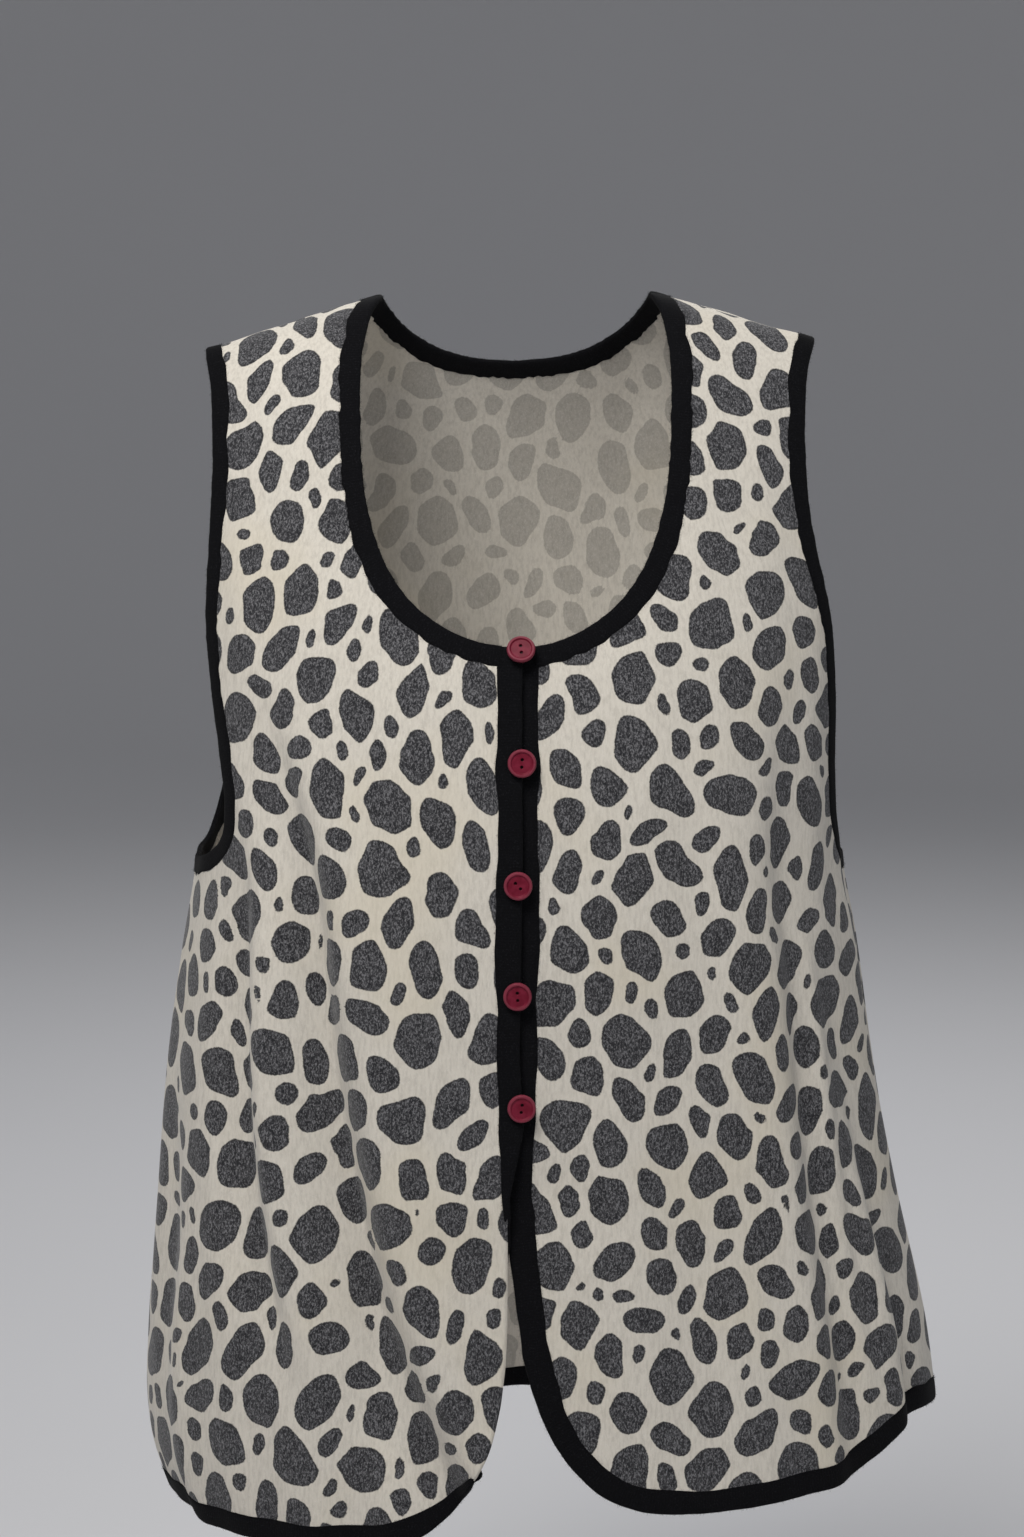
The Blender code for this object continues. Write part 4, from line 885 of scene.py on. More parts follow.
# ---- panels ----
@dataclass
class Panels:
    """The three cut pieces of cloth, as thin shells on fine grids."""
    cut: Cut
    wall: float = 0.0020
    under_tape: float = 0.0022     # the cloth runs this far in under a binding
    # shares of the rows, from the hem up, at which both side edges are pinned together,
    # and the rows between each two marks
    front_marks: tuple = (0.0, 0.40, 0.50, 0.70, 0.80, 0.91, 1.0)
    front_rows: tuple = (150, 34, 62, 44, 36, 44)
    front_columns: int = 112
    back_marks: tuple = (0.0, 0.42, 0.53, 1.0)
    back_rows: tuple = (132, 30, 138)
    back_top: tuple = (42, 72)     # columns along each shoulder, and along the neck
    back_sag: float = 0.060        # how far the middle rows hang down
    sag_low: float = 0.8           # power that moves the sag's deepest row down
    skipped: int = 20              # a front's edge is read for its x past these first points
    arm_corner: dict = field(default_factory=lambda: {Side.RIGHT: 0.275, Side.LEFT: 0.290})
    back_arm_corner: float = 0.285
    inner_drops: tuple = (0.430, 0.355)     # drops that the marks' rows meet at the front edge
    outer_drops: tuple = (0.205, 0.125)     # and at the armhole
    roll_reach: float = 0.060      # the last mark's reach, below the shoulder
    neck_bend: float = 0.075       # length round the neck's bend, from the front edge
    corner_top: float = -0.58      # the rounded hem corner lies below this height
    seam_points: int = 60
    rounds: int = 160              # rounds in which a grid is eased

    def length_along(self, curve: Array, surface: Surface) -> Array:
        """Length on the surface from a curve's start to each of its points."""
        return run_of(surface(curve[:, 0], curve[:, 1]))

    def lengths_at(self, curve: Array, lengths: Array, *reaches: float) -> list[float]:
        """Lengths along a curve at which it first crosses each reach."""
        rows = np.arange(len(curve))
        return [float(np.interp(crossing(curve, 1, reach), rows, lengths)) for reach in reaches]

    def spaced(self, marks: tuple, counts: tuple) -> Array:
        """Shares between marks, each stretch evenly split into its own count."""
        stretches = zip(marks, marks[1:], counts)
        parts = [np.linspace(low, high, count, endpoint=False) for low, high, count in stretches]
        return np.concatenate(parts + [[marks[-1]]])

    def blend(self, bottom: Array, top: Array, left: Array, right: Array,
              s: Array, t: Array, sag: float) -> Array:
        """Fill four edges: across and down blends, less the blend of the corners.
        sag lets the rows hang lower in the middle, most at the underarm."""
        s, t = s[None, :, None], t[:, None, None]
        grid = ((1 - s) * left[:, None] + s * right[:, None]
                + (1 - t) * bottom[None] + t * top[None]
                - (1 - s) * (1 - t) * bottom[0] - s * (1 - t) * bottom[-1]
                - (1 - s) * t * top[0] - s * t * top[-1])
        up = np.sin(math.pi * t[..., 0] ** self.sag_low) ** 2
        grid[..., 1] += sag * np.sin(math.pi * s[..., 0]) * up
        return grid

    def relax(self, grid: Array) -> Array:
        """Ease a grid: each inner place moves to the mean of its four neighbours."""
        for _ in range(self.rounds):
            grid[1:-1, 1:-1] = (grid[:-2, 1:-1] + grid[2:, 1:-1]
                                + grid[1:-1, :-2] + grid[1:-1, 2:]) / 4
        return grid

    def cut_line(self, rim: Array, width: Array, lap: float, side: int) -> Array:
        """The cloth's own edge, under a binding."""
        return self.cut.form.inset(rim, width - self.under_tape, lap, side)

    def front_grid(self, side: Side) -> Array:
        """A front's places: rows from its rounded corner and side seam to the shoulder."""
        cut, sign = self.cut, side.value
        lap = cut.laps[side]
        surface = cut.form.lapped(lap)
        rim = cut.front_rim(side)
        edge = self.cut_line(rim, cut.front_tape_width(rim, side), lap, sign)
        neck = self.cut_line(cut.neck_rim(side, False), cut.neck_tape, lap, sign)
        arm = self.cut_line(cut.arm_rim(side, False), cut.arm_tape, lap, -sign)
        seam = sign * SIDE_TURN
        arm = between(arm, crossing(arm, 1, 0.0), crossing(arm, 0, seam))
        front_x = surface(*edge[self.skipped])[0]
        neck_places = surface(neck[:, 0], neck[:, 1])
        neck = between(neck, crossing(neck, 1, 0.0), crossing(neck_places, 0, front_x))
        edge = between(edge, crossing(edge, 1, neck[-1, 1]), crossing(edge, 0, seam))
        edge[0] = neck[-1]
        places = surface(edge[:, 0], edge[:, 1])
        run = np.abs(np.gradient(places, axis=0))
        corner = int(np.argmax((run[:, 0] > run[:, 2]) & (places[:, 2] < self.corner_top)))
        bottom = edge[corner:]
        inner = np.vstack([edge[corner::-1], neck[-2::-1]])
        outer = np.vstack([np.linspace(edge[-1], arm[-1], self.seam_points), arm[-2::-1]])
        inner_len, outer_len, bottom_len = (self.length_along(curve, surface)
                                            for curve in (inner, outer, bottom))
        join, under = inner_len[corner], self.seam_points - 1
        down = [float(reach_of(drop)) for drop in self.inner_drops]
        *inner_at, roll = self.lengths_at(inner, inner_len, *down, self.roll_reach)
        inner_marks = (0.0, *inner_at, join, join + self.neck_bend, roll, inner_len[-1])
        down = [float(reach_of(drop)) for drop in (self.arm_corner[side], *self.outer_drops)]
        outer_at = self.lengths_at(outer[under:], outer_len[under:], *down, self.roll_reach)
        outer_marks = (0.0, outer_len[under], *outer_at, outer_len[-1])
        t = self.spaced(self.front_marks, self.front_rows)
        s = np.linspace(0, 1, self.front_columns + 1)
        left = at_lengths(inner, inner_len, np.interp(t, self.front_marks, inner_marks))
        right = at_lengths(outer, outer_len, np.interp(t, self.front_marks, outer_marks))
        low = at_lengths(bottom, bottom_len, s * bottom_len[-1])
        top = left[-1] + (right[-1] - left[-1]) * s[:, None]
        grid = self.relax(self.blend(low, top, left, right, s, t, 0.0))
        return grid[:, ::-1] if side is Side.RIGHT else grid

    def back_grid(self) -> Array:
        """The back's places: rows from the hem to the shoulders and neck."""
        cut = self.cut
        surface = cut.form.lapped(0.0)
        ends = {Side.LEFT: SIDE_TURN, Side.RIGHT: WHOLE_TURN - SIDE_TURN}
        arms, necks = {}, {}
        for side in (Side.LEFT, Side.RIGHT):
            arm = self.cut_line(cut.arm_rim(side, True), cut.arm_tape, 0.0, side.value)
            neck = self.cut_line(cut.neck_rim(side, True), cut.neck_tape, 0.0, -side.value)
            if side is Side.RIGHT:
                arm[:, 0] += WHOLE_TURN
                neck[:, 0] += WHOLE_TURN
            arms[side] = between(arm, crossing(arm, 1, 0.0), crossing(arm, 0, ends[side]))
            necks[side] = between(neck, crossing(neck, 1, 0.0), len(neck) - 1)
        hem = self.cut_line(cut.hem_back_rim(), cut.hem_tape, 0.0, 1)
        hem = between(hem, crossing(hem, 0, ends[Side.LEFT]), crossing(hem, 0, ends[Side.RIGHT]))
        t = self.spaced(self.back_marks, self.back_rows)
        edges, under = {}, self.seam_points - 1
        for side, end in ((Side.LEFT, hem[0]), (Side.RIGHT, hem[-1])):
            arm = arms[side]
            edge = np.vstack([np.linspace(end, arm[-1], self.seam_points), arm[-2::-1]])
            lengths = self.length_along(edge, surface)
            corner = float(reach_of(self.back_arm_corner))
            marks = (0.0, lengths[under],
                     *self.lengths_at(edge[under:], lengths[under:], corner), lengths[-1])
            edges[side] = at_lengths(edge, lengths, np.interp(t, self.back_marks, marks))
        left, right = edges[Side.LEFT], edges[Side.RIGHT]
        neck = np.vstack([necks[Side.LEFT], necks[Side.RIGHT][-2::-1]])
        top = []
        for curve, count in ((np.vstack([left[-1], neck[0]]), self.back_top[0]),
                             (neck, self.back_top[1]),
                             (np.vstack([neck[-1], right[-1]]), self.back_top[0])):
            lengths = self.length_along(curve, surface)
            top.append(at_lengths(curve, lengths, np.linspace(0, lengths[-1], count + 1))[:-1])
        top = np.vstack(top + [right[-1:]])
        hem_len = self.length_along(hem, surface)
        s = np.linspace(0, 1, len(top))
        low = at_lengths(hem, hem_len, s * hem_len[-1])
        return self.relax(self.blend(low, top, left, right, s, t, self.back_sag))

    def shell(self, name: str, grid: Array, lap: float, spots: Spots, flat: Array,
              material: Material) -> Object:
        """A closed thin shell: the outer and inner faces lie half a wall each way
        along the normal, joined round the edge.

        Args:
            name: the piece's name.
            grid: its (turn, reach) places.
            lap: which front it is, 0 for the back.
            spots: its print.
            flat: cloth coordinates of the places.
            material: its finish.
        Returns:
            The piece.
        """
        surface = self.cut.form.lapped(lap)
        rows, columns = grid.shape[:2]
        middle = surface(grid[..., 0], grid[..., 1])
        normal = BodyForm.normal(surface, grid[..., 0], grid[..., 1])
        outer = (middle + normal * self.wall / 2).reshape(-1, 3)
        inner = (middle - normal * self.wall / 2).reshape(-1, 3)
        quads, count = grid_quads(rows, columns), rows * columns
        index = np.arange(count).reshape(rows, columns)
        loop = np.concatenate([index[0, :-1], index[:-1, -1], index[-1, :0:-1], index[:0:-1, 0]])
        after = np.roll(loop, -1)
        rim = np.stack([after, loop, loop + count, after + count], axis=-1)
        faces = np.vstack([quads, quads[:, ::-1] + count, rim])
        depth = spots.depth(flat.reshape(-1, 2))
        values = {"spot": np.concatenate([depth, depth]),
                  "inside": np.repeat([0.0, 1.0], count)}
        LOG.info("%s: %d quads, %.0f%% spots", name, len(faces), 100 * float(np.mean(depth > 0)))
        return piece(name, np.vstack([outer, inner]), faces, material, values)

    def area(self, grid: Array, lap: float) -> float:
        """Area of the cloth: half the cross product of each cell's diagonals."""
        places = self.cut.form.surface(grid[..., 0], grid[..., 1], lap)
        one, two = places[1:, 1:] - places[:-1, :-1], places[1:, :-1] - places[:-1, 1:]
        return float(np.linalg.norm(np.cross(one, two), axis=-1).sum() / 2)


# ---- bindings ----
@dataclass
class Bindings:
    """The black strips folded over every edge."""
    cut: Cut
    material: Material
    thick: float = 0.0034
    lip: float = 0.0015            # the strip reaches this far over the cloth
    around: int = 18
    stations: int = 520
    fibres: float = 9000.0         # stray fibres to a metre
    edge_fibres: float = 0.75      # the share of them along the strip's two edges
    fibre: tuple = (0.0006, 0.0021)     # shortest and longest
    fibre_thick: float = 0.00006
    fibre_root: float = 0.0002     # how deep each is rooted
    fibre_out: float = 0.8         # how much it stands out, leans along the strip, and any way
    fibre_lean: float = 0.6
    fibre_stray: float = 0.35
    trims: dict = field(default_factory=dict)
    roll_turn: float = math.radians(150.0)
    roll_tuck: float = 0.0035
    rolled: tuple = (              # height, turned under, width left
        (-0.4400, 0.0, 1.00), (-0.4780, 0.0, 0.30), (-0.5120, 0.6, 0.22),
        (-0.5290, 1.0, 0.45), (-0.5600, 1.0, 1.00), (-0.6080, 1.0, 1.00),
        (-0.6250, 1.0, 0.45), (-0.6340, 0.7, 0.24), (-0.6420, 0.0, 0.24),
        (-0.6560, 0.0, 0.54), (-0.6690, 0.0, 0.90), (-0.6760, 0.0, 1.00))
    waver: float = 0.00090         # unevenness of its sewn edge
    rim_waver: float = 0.00016     # and of its rim
    neck_over: float = 0.0022      # the neck's strip reaches this far onto the fronts' strips
    fuzzy: tuple = (-1, 0, 6, 7, 7, 10)   # the section's points nearest its two edges
    squared: float = 0.55          # the power that squares the section off
    thinner: float = 0.12          # how much thinner it is at its sewn side
    seam_gap: float = 0.0015       # the last section stays this far from a strip's flat end
    hem_stations: int = 660

    def profile(self) -> Array:
        """Section of a strip: an oval squared off, as (share from rim, share of
        thickness), a little thinner on its sewn side."""
        angle = np.linspace(0, WHOLE_TURN, self.around, endpoint=False)
        across, height = (np.sign(wave) * np.abs(wave) ** self.squared
                          for wave in (np.cos(angle), np.sin(angle)))
        share = 0.5 - 0.5 * across
        return np.stack([share, 0.5 * height * (1 - self.thinner * share)], axis=-1)

    def sections(self, rim: Array, width: Array, lap: float, side: int,
                 rolled: tuple[Array, Array] | None = None) -> Array:
        """Section points at each place of a rim: the profile laid on the surface
        between the rim and the sewn line, turned under where the strip rolls.

        Args:
            rim: (turn, reach) places of the outer rim.
            width: the strip's width there.
            lap: which front it is on, 0 elsewhere.
            side: which way the cloth lies from the rim.
            rolled: how far it is turned under, and the share of width left.
        Returns:
            Places by station and point of the profile.
        """
        form = self.cut.form
        surface = form.lapped(lap)
        turned, kept = (np.zeros(len(rim)), np.ones(len(rim))) if rolled is None else rolled
        lip = self.lip * (1 - fade(turned, 0.0, 0.5)) + self.waver * self.uneven(len(rim), 5)
        sewn = form.inset(rim, width + lip, lap, side)
        moved = self.rim_waver * self.uneven(len(rim), 9) / width
        outer = sewn + (rim - sewn) * (kept * (1 + moved))[:, None]
        base, base_out = surface(*sewn.T), form.normal(surface, *sewn.T)
        away = unit(surface(*outer.T) - base)
        angle = turned * self.roll_turn
        tuck = self.roll_tuck * fade(angle, self.roll_turn / 2, self.roll_turn)
        low = -self.thick / 2
        points = []
        for share, depth in self.profile():
            place = outer + (sewn - outer) * share
            point = surface(*place.T) + form.normal(surface, *place.T) * depth * self.thick
            u = np.sum((point - base) * away, axis=-1)
            v = np.sum((point - base) * base_out, axis=-1) - low
            under = (base + away * (u * np.cos(angle) + v * np.sin(angle) - tuck)[:, None]
                     + base_out * (low - u * np.sin(angle) + v * np.cos(angle))[:, None])
            points.append(np.where(turned[:, None] > 0, under, point))
        return np.stack(points, axis=1)

    def uneven(self, count: int, seed: int) -> Array:
        """Seeded waver along an edge, near 1 in size: smoothed random steps of two lengths."""
        draw = np.random.default_rng(seed)
        total = np.zeros(count)
        runs = ((9, 1.0), (3, 0.7))     # half a wave in points, share
        for run, share in runs:
            window = np.hanning(run * 2 + 3)
            steps = np.convolve(draw.normal(0, 1, count + len(window)), window, "same")
            total += share * steps[len(window) // 2:][:count] / np.sqrt(np.sum(window**2))
        return total / sum(share for _, share in runs)

    def stretch(self, sections: Array, first: float, last: float, count: int) -> Array:
        """Sections at even places between two fractional stations."""
        at = np.linspace(first, last, count)
        low = np.clip(np.floor(at).astype(int), 0, len(sections) - 2)
        part = (at - low)[:, None, None]
        return sections[low] * (1 - part) + sections[low + 1] * part

    def flat_end(self, sections: Array, axis: int, value: float) -> Array:
        """One section whose every point lies where its own line crosses a plane."""
        lines = np.swapaxes(sections, 0, 1)
        return np.array([place_at(line, crossing(line, axis, value)) for line in lines])[None]

    def joint(self, front: Array, back: Array) -> Array:
        """The section at a shoulder or side, halfway between where both stretches end."""
        return (self.flat_end(front, 1, 0.0) + self.flat_end(back, 1, 0.0)) / 2

    def strip(self, name: str, sections: Array, ring: bool = False, flip: bool = False) -> Object:
        """A closed strip through its sections, its ends closed to a point.

        Args:
            name: the piece's name.
            sections: places by station and point.
            ring: whether it joins its own start.
            flip: whether the sections run the other way round.
        Returns:
            The piece.
        """
        if flip:
            sections = sections[::-1]
        if ring:
            sections = np.concatenate([sections, sections[:1]])
        else:
            first, last = (0 * end + end.mean(axis=1, keepdims=True)
                           for end in (sections[:1], sections[-1:]))
            sections = np.concatenate([first, sections, last])
        rows, columns = sections.shape[:2]
        quads = grid_quads(rows, columns, ring=True)[:, ::-1]
        along = run_of(sections.mean(axis=1))
        LOG.info("%s: %d quads, %.2f m long", name, len(quads), along[-1])
        made = piece(name, sections.reshape(-1, 3), quads, self.material,
                     {"along": np.repeat(along, columns)})
        weld(made)
        self.trims[name] = [made, self.fuzz(name + "_fuzz", sections[1:-1], along[-1])]
        return made

    def fuzz(self, name: str, sections: Array, length: float) -> Object:
        """Short stray fibres all over a strip, each a thin three-sided spike.

        Args:
            name: the piece's name.
            sections: the strip's places by station and point.
            length: the strip's length.
        Returns:
            The fibres, as one mesh.
        """
        draw = np.random.default_rng(len(name))
        count = int(length * self.fibres)
        rows, columns = sections.shape[:2]
        row, column = draw.integers(0, rows - 1, count), draw.integers(0, columns, count)
        at_edge = draw.random(count) < self.edge_fibres
        column = np.where(at_edge, draw.choice(self.fuzzy, count), column) % columns
        after = (column + 1) % columns
        s, t = draw.random((2, count, 1))
        here, beside = sections[row, column], sections[row, after]
        ahead, across = sections[row + 1, column], sections[row + 1, after]
        root = (here * (1 - s) + beside * s) * (1 - t) + (ahead * (1 - s) + across * s) * t
        out = unit(np.cross(beside - here, ahead - here))
        from_middle = root - sections.mean(axis=1)[row]
        out = out * np.sign(np.sum(out * from_middle, axis=-1, keepdims=True))
        lean = unit(ahead - here) * draw.normal(0, self.fibre_lean, (count, 1))
        way = unit(out * self.fibre_out + lean + draw.normal(0, self.fibre_stray, (count, 3)))
        tip = root + way * draw.uniform(*self.fibre, (count, 1))
        one = unit(np.cross(way, out + 0.1)) * self.fibre_thick
        two = np.cross(way, one) * 0.87     # the foot is a triangle of equal sides
        root = root - way * self.fibre_root
        corners = np.stack([root + one, root - one / 2 + two, root - one / 2 - two, tip], axis=1)
        faces = np.array(((0, 1, 3), (1, 2, 3), (2, 0, 3), (0, 2, 1)))
        faces = (faces[None] + 4 * np.arange(count)[:, None, None]).reshape(-1, 3)
        return piece(name, corners.reshape(-1, 3), faces, self.material)

    def neck(self, name: str) -> Object:
        """The neck's strip: upper front, shoulder, back, shoulder, lower front."""
        cut, stretches = self.cut, []
        for side in (Side.RIGHT, Side.LEFT):
            lap, sign = cut.laps[side], side.value
            front = self.sections(cut.neck_rim(side, False), cut.neck_tape, lap, sign)
            back = self.sections(cut.neck_rim(side, True), cut.neck_tape, 0.0, -sign)
            tape = cut.front_tape[0][1 if side is Side.RIGHT else 2]
            end_x = cut.front_edge[side][0][0] + sign * (tape - self.neck_over)
            middle = front.mean(axis=1)
            first, last = crossing(middle, 1, -self.seam_gap), crossing(middle, 0, end_x) - 2
            rim_back = crossing(back.mean(axis=1), 1, self.seam_gap)
            one = np.vstack([self.flat_end(front, 0, end_x),
                             self.stretch(front, last, first, self.stations // 2),
                             self.joint(front, back),
                             self.stretch(back, rim_back, len(back) - 1.0, self.stations // 4)])
            stretches.append(one if side is Side.RIGHT else one[-2::-1])
        return self.strip(name, np.vstack(stretches))

    def armhole(self, name: str, side: Side) -> Object:
        """A ring round one armhole, joined at the shoulder and underarm."""
        cut, halves, spans = self.cut, [], []
        top = RIM_POINTS // 3     # the underarm lies past this many points
        for back, sign in ((False, -side.value), (True, side.value)):
            parts = self.sections(cut.arm_rim(side, back), cut.arm_tape, 0.0, sign)
            middle, plane = parts.mean(axis=1), self.seam_gap * (1 if back else -1)
            low = crossing(middle[top:], 1, plane) + top
            halves.append(parts)
            spans.append(self.stretch(parts, crossing(middle, 1, plane), low, self.stations // 2))
        under = [parts[top:] for parts in halves]
        ring = np.vstack([self.joint(*halves), spans[0], self.joint(*under), spans[1][::-1]])
        return self.strip(name, ring, True, side is Side.LEFT)

    def front(self, name: str, side: Side) -> Object:
        """The strip down one front edge, round its corner and along the hem."""
        cut = self.cut
        lap, rim = cut.laps[side], cut.front_rim(side)
        heights = cut.form.surface(rim[:, 0], rim[:, 1], lap)[:, 2]
        rolled = None
        if side is Side.RIGHT:
            rows = np.array(self.rolled)[::-1].T
            under, left = (np.interp(heights, rows[0], row) for row in rows[1:])
            rolled = (fade(under, 0.0, 1.0), left)
        parts = self.sections(rim, cut.front_tape_width(rim, side), lap, side.value, rolled)
        half = RIM_POINTS // 2
        last = crossing(parts.mean(axis=1)[half:], 1, -self.seam_gap) + half
        picked = np.vstack([self.stretch(parts, 0.0, last, self.hem_stations),
                            self.flat_end(parts[half:], 1, 0.0)])
        return self.strip(name, picked, flip=side is Side.RIGHT)

    def hem(self, name: str) -> Object:
        """The strip along the back's hem between the side seams."""
        parts = self.sections(self.cut.hem_back_rim(), self.cut.hem_tape, 0.0, 1)
        half = len(parts) // 2
        middle = parts.mean(axis=1)
        first = crossing(middle[:half], 1, self.seam_gap)
        last = crossing(middle[half:], 1, self.seam_gap) + half
        picked = np.vstack([self.flat_end(parts[:half], 1, 0.0),
                            self.stretch(parts, first, last, self.stations),
                            self.flat_end(parts[half:], 1, 0.0)])
        return self.strip(name, picked)


# ---- buttons ----
@dataclass
class Buttons:
    """Five two-hole buttons, each a disc with a raised rim and sunk holes."""
    cut: Cut
    radius: float = 0.0077
    thick: float = 0.0026
    dish: float = 0.0008
    hole: float = 0.00085
    pitch: float = 0.0040
    lift: float = 0.0020
    tip: float = math.radians(17.0)     # the top button tips forward, and stands higher
    tip_lift: float = 0.00075
    around: int = 96
    rings: int = 46
    rim_from: tuple = (0.70, 0.80)      # shares of the radius between which the rim rises
    rim_shade: tuple = (0.76, 0.86)     # and between which its painted highlight sets in
    round_from: float = 0.90       # share of the radius at which the face rounds off
    round_by: float = 0.0011
    round_power: float = 2.2
    pit_floor: float = 0.0004
    pit_wall: tuple = (0.78, 1.12)      # shares of the hole's radius between which its wall falls
    edge: tuple = (                # share of the radius, height: the side and the underside
        (1.0, 0.0009), (0.985, 0.0003), (0.93, 0.0), (0.0, 0.0))
    places: tuple = (   # x, z, turn of the holes from upright in degrees
        (0.0027, -0.1840, 6.0), (0.0032, -0.2429, -4.0), (0.0011, -0.3077, 42.0),
        (0.0008, -0.3675, 3.0), (0.0030, -0.4290, -8.0))

    def frame(self, number: int) -> mathutils.Matrix:
        """Where a button sits: on the upper binding, its back clear of it."""
        form = self.cut.form
        x, z, turn_holes = self.places[number]
        turn, reach = form.on_front(x, z, rounds=1)
        surface = form.lapped(1.0)
        out = form.normal(surface, np.array(turn), np.array(reach))
        tipped, more = (self.tip, self.tip_lift) if number == 0 else (0.0, 0.0)
        seat = surface(turn, reach) + out * (self.lift + more)
        up = unit(np.array([0.0, 0.0, 1.0]) - out * out[2])
        matrix = mathutils.Matrix((np.cross(up, out), up, out)).transposed().to_4x4()
        tip = mathutils.Matrix.Rotation(-tipped, 4, "X")
        spin = mathutils.Matrix.Rotation(math.radians(turn_holes), 4, "Z")
        return mathutils.Matrix.Translation(seat) @ matrix @ tip @ spin

    def face(self, x: Array, y: Array) -> Array:
        """Height of the front face: a dish inside a rounded rim, with a steep-sided
        pit for each hole."""
        r = np.hypot(x, y) / self.radius
        height = self.thick - self.dish * (1 - fade(r, *self.rim_from))
        past = np.clip((r - self.round_from) / (1 - self.round_from), 0, 1)
        height = height - self.round_by * past ** self.round_power
        return height - (height - self.pit_floor) * self.pit(x, y)

    def pit(self, x: Array, y: Array) -> Array:
        """1 inside either hole, falling steeply to 0 round it: it sinks the pits and paints their
        shade.
        """
        away = np.minimum(*(np.hypot(x, y - sign * self.pitch / 2) for sign in (-1, 1)))
        return 1 - fade(away / self.hole, *self.pit_wall)

    def make(self, number: int, material: Material) -> Object:
        """One button: a polar grid over its face, down its side and under it."""
        angle = np.linspace(0, WHOLE_TURN, self.around, endpoint=False)
        r = np.linspace(0, 1, self.rings)[:, None] * self.radius
        x, y = r * np.cos(angle), r * np.sin(angle)
        top = np.stack([x, y, self.face(x, y)], axis=-1)
        share, height = np.array(self.edge).T[..., None]
        low = np.stack([share * self.radius * np.cos(angle), share * self.radius * np.sin(angle),
                        height + 0 * angle], axis=-1)
        grid = np.concatenate([top, low])
        points = grid.reshape(-1, 3)
        matrix = np.array(self.frame(number))
        world = points @ matrix[:3, :3].T + matrix[:3, 3]
        share = np.hypot(points[:, 0], points[:, 1]) / self.radius
        name = "vest_button_%d" % (number + 1)
        # the holes' share carries their painted shade
        # the rim's share carries the painted highlight on the raised rim
        values = {"rim": fade(share, *self.rim_shade), "pit": self.pit(points[:, 0], points[:, 1])}
        made = piece(name, world, grid_quads(len(grid), self.around, ring=True), material, values)
        weld(made)
        LOG.info("%s: %d faces", name, len(made.data.polygons))
        return made


# ---- the room ----
@dataclass
class Studio:
    """Pale floor, soft lights and the camera at the photo's angle."""
    camera_at: tuple = (-0.0021, -2.2952, 0.0825)
    pitch: float = math.radians(81.43)
    floor_at: float = -0.95
    floor_flat: float = 4.0        # radius of its flat middle
    floor_curve: float = 3.0       # and of the curve by which it rises all round
    floor_rise: float = math.radians(86.0)
    floor_around: int = 96
    floor_steps: int = 33          # rings of its curve
    pale: tuple = (0.75, 0.75, 0.77)
    pale_share: float = 0.985      # how pale its second shade is beside the first
    pale_scale: float = 3.0
    sky: tuple = (0.62, 0.63, 0.66)
    sky_strength: float = 0.27
    sensor: float = 36.0           # the camera's sensor width in mm
    photo_width: int = 1024        # the photo's width, and the camera's focal length, in pixels
    focal_pixels: float = 4104.0
    lights: tuple = (   # name, place, aim, size, watts, colour
        ("key", (-0.50, -1.16, 1.28), (0.0, 0.0, -0.15), 0.8, 31.0, (1.0, 0.985, 0.955)),
        ("fill", (1.3, -1.5, 0.9), (0.0, 0.0, -0.25), 1.2, 6.0, (0.96, 0.98, 1.0)),
        ("back", (0.4, 2.2, 1.6), (0.0, 0.0, -0.20), 1.6, 30.0, (1.0, 1.0, 1.0)))

    def floor(self, material: Material) -> Object:
        """A round floor: flat out to its radius, then an arc up to its rim, turned
        about the upright axis."""
        turn = np.linspace(0, WHOLE_TURN, self.floor_around, endpoint=False)
        rise = np.linspace(0, self.floor_rise, self.floor_steps)
        flat = np.arange(self.floor_flat)
        radius = np.concatenate([flat, self.floor_flat + self.floor_curve * np.sin(rise)])
        height = np.concatenate([0 * flat, self.floor_curve * (1 - np.cos(rise))]) + self.floor_at
        points = np.stack([radius[:, None] * np.cos(turn), radius[:, None] * np.sin(turn),
                           height[:, None] + 0 * turn], axis=-1)
        made = piece("floor", points.reshape(-1, 3), grid_quads(len(radius), len(turn), ring=True),
                     material)
        weld(made)
        return made

    def build(self) -> None:
        """Make the floor, world, lights and camera."""
        scene = bpy.context.scene
        other = tuple(c * self.pale_share for c in self.pale)
        pale = Plain("pale_floor", self.pale, other, self.pale_scale)
        self.floor(pale.material())
        world = bpy.data.worlds.new("room")
        world.use_nodes = True
        back = world.node_tree.nodes["Background"]
        back.inputs["Color"].default_value = (*self.sky, 1.0)
        back.inputs["Strength"].default_value = self.sky_strength
        scene.world = world
        for name, place, aim, size, watts, colour in self.lights:
            lamp = bpy.data.lights.new(name, "AREA")
            lamp.size, lamp.energy, lamp.color = size, watts, colour
            holder = bpy.data.objects.new(name, lamp)
            holder.location = place
            look = mathutils.Vector(aim) - mathutils.Vector(place)
            holder.rotation_euler = look.to_track_quat("-Z", "Y").to_euler()
            scene.collection.objects.link(holder)
        lens = bpy.data.cameras.new("camera")
        lens.sensor_fit, lens.sensor_width = "HORIZONTAL", self.sensor
        lens.lens = self.focal_pixels / self.photo_width * self.sensor
        lens.clip_end = 50.0
        camera = bpy.data.objects.new("camera", lens)
        camera.location = self.camera_at
        camera.rotation_euler = (self.pitch, 0.0, 0.0)
        scene.collection.objects.link(camera)
        scene.camera = camera
        scene.view_settings.view_transform = "Standard"


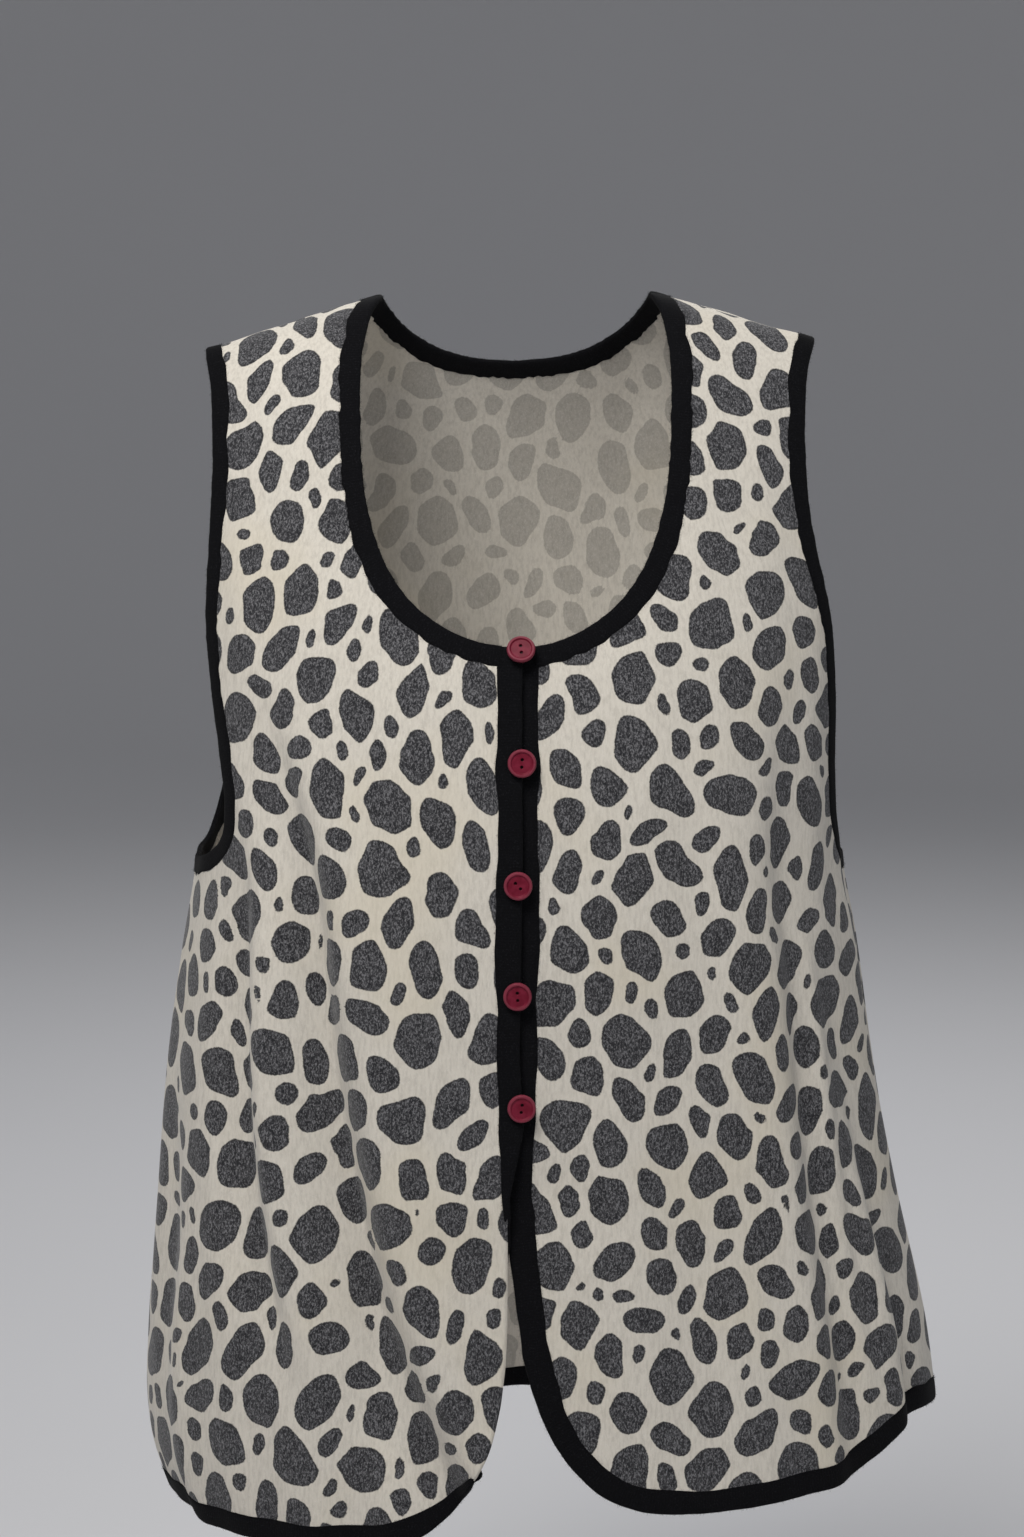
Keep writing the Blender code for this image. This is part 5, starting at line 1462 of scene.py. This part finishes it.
# ---- the vest ----
@dataclass
class Vest:
    """The whole garment, built piece by piece."""
    form: BodyForm = field(default_factory=BodyForm)
    # the seed of each front's print, and of the back's under None
    prints: dict = field(default_factory=lambda: {Side.RIGHT: 41, Side.LEFT: 7, None: 23})
    print_width: float = 0.40      # the cloth's measure for a front's print, and for the back's
    back_print: float = 0.74
    print_length: float = 0.76
    back_middle: float = 0.36      # where the back's centre lies across its print
    past_side: float = 0.10        # how far past the side seam the cloth is measured
    past_front: float = 0.13       # metres to a radian past centre front

    def __post_init__(self) -> None:
        """Prepare the sub-assemblies and finishes."""
        self.cut = Cut(self.form)
        self.felt = Felt().material()
        self.panels, self.buttons = Panels(self.cut), Buttons(self.cut)
        self.strips = Bindings(self.cut, BlackKnit().material())

    def settle(self, made: Object, slot: str, *nodes: str) -> Object:
        """Let a piece stand for its CAD nodes and ride on the body."""
        if nodes:
            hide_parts(*nodes)
        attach(made, "root")
        return made

    def lay(self, word: str, grid: Array, flat: Array, side: Side | None, extra: list) -> None:
        """Args:
            word: the panel's CAD node.
            grid: its (turn, reach) places.
            flat: cloth coordinates of the places.
            side: which front it is, None for the back.
            extra: the pieces sewn to it; not used.
        """
        lap = self.cut.laps[side] if side else 0.0
        width = self.print_width if side else self.back_print
        spots = Spots(self.prints[side], width, self.print_length)
        name = "front_cloth_" + word.removeprefix("front_") if side else "back_cloth"
        made = self.panels.shell(name, grid, lap, spots, flat, self.felt)
        cloth = self.settle(made, "cloth", word)
        area = self.panels.area(grid, lap)

    def front(self, side: Side, word: str, extra: list) -> None:
        """One front panel: its grid, cloth coordinates and shell."""
        grid = self.panels.front_grid(side)
        flat_map = FlatMap(self.form, 0.0, side.value * (SIDE_TURN + self.past_side))
        flat = flat_map.flat(grid[..., 0], grid[..., 1])
        across = grid[..., 0] * side.value
        flat[..., 0] = np.where(across < 0, across * self.past_front, flat[..., 0])
        trims = self.strips.trims
        sewn = [*trims["front_strip_" + word], *trims["armhole_strip_" + word], *extra]
        self.lay("front_" + word, grid, flat, side, sewn)

    def back(self) -> None:
        """The back panel: its grid, cloth coordinates and shell."""
        grid = self.panels.back_grid()
        ends = (math.pi + sign * (SIDE_TURN + self.past_side) for sign in (-1, 1))
        one, two = (FlatMap(self.form, math.pi, end).flat(grid[..., 0], grid[..., 1])
                    for end in ends)
        on_left = (grid[..., 0] < math.pi)[..., None]
        flat = np.where(on_left, one * np.array([-1.0, 1.0]), two)
        flat[..., 0] += self.back_middle
        trims = self.strips.trims
        self.lay("back", grid, flat, None, [*trims["neck_strip"], *trims["hem_strip_back"]])

    def build(self) -> None:
        """Make the bindings and buttons, then the panels that they are sewn to."""
        strips, words = self.strips, {Side.RIGHT: "right", Side.LEFT: "left"}
        self.settle(strips.neck("neck_strip"), "binding", "neck_binding")
        for side, word in words.items():
            for kind, make in (("armhole", strips.armhole), ("front", strips.front)):
                made = make(f"{kind}_strip_{word}", side)
                self.settle(made, "binding", f"{kind}_binding_{word}")
        self.settle(strips.hem("hem_strip_back"), "binding", "hem_binding_back")
        glossy = Burgundy().material()
        buttons = [self.settle(self.buttons.make(k, glossy), "buttons", "button_%d" % (k + 1))
                   for k in range(len(self.buttons.places))]
        for _, fuzz in strips.trims.values():
            self.settle(fuzz, "binding")
        for side, word in words.items():
            self.front(side, word, buttons if side is Side.RIGHT else [])
        self.back()


def main() -> None:
    """Build the vest and the room."""
    logging.basicConfig(level=logging.INFO, format="%(name)s: %(message)s")
    Vest().build()
    Studio().build()


if __name__ == "__main__":
    main()
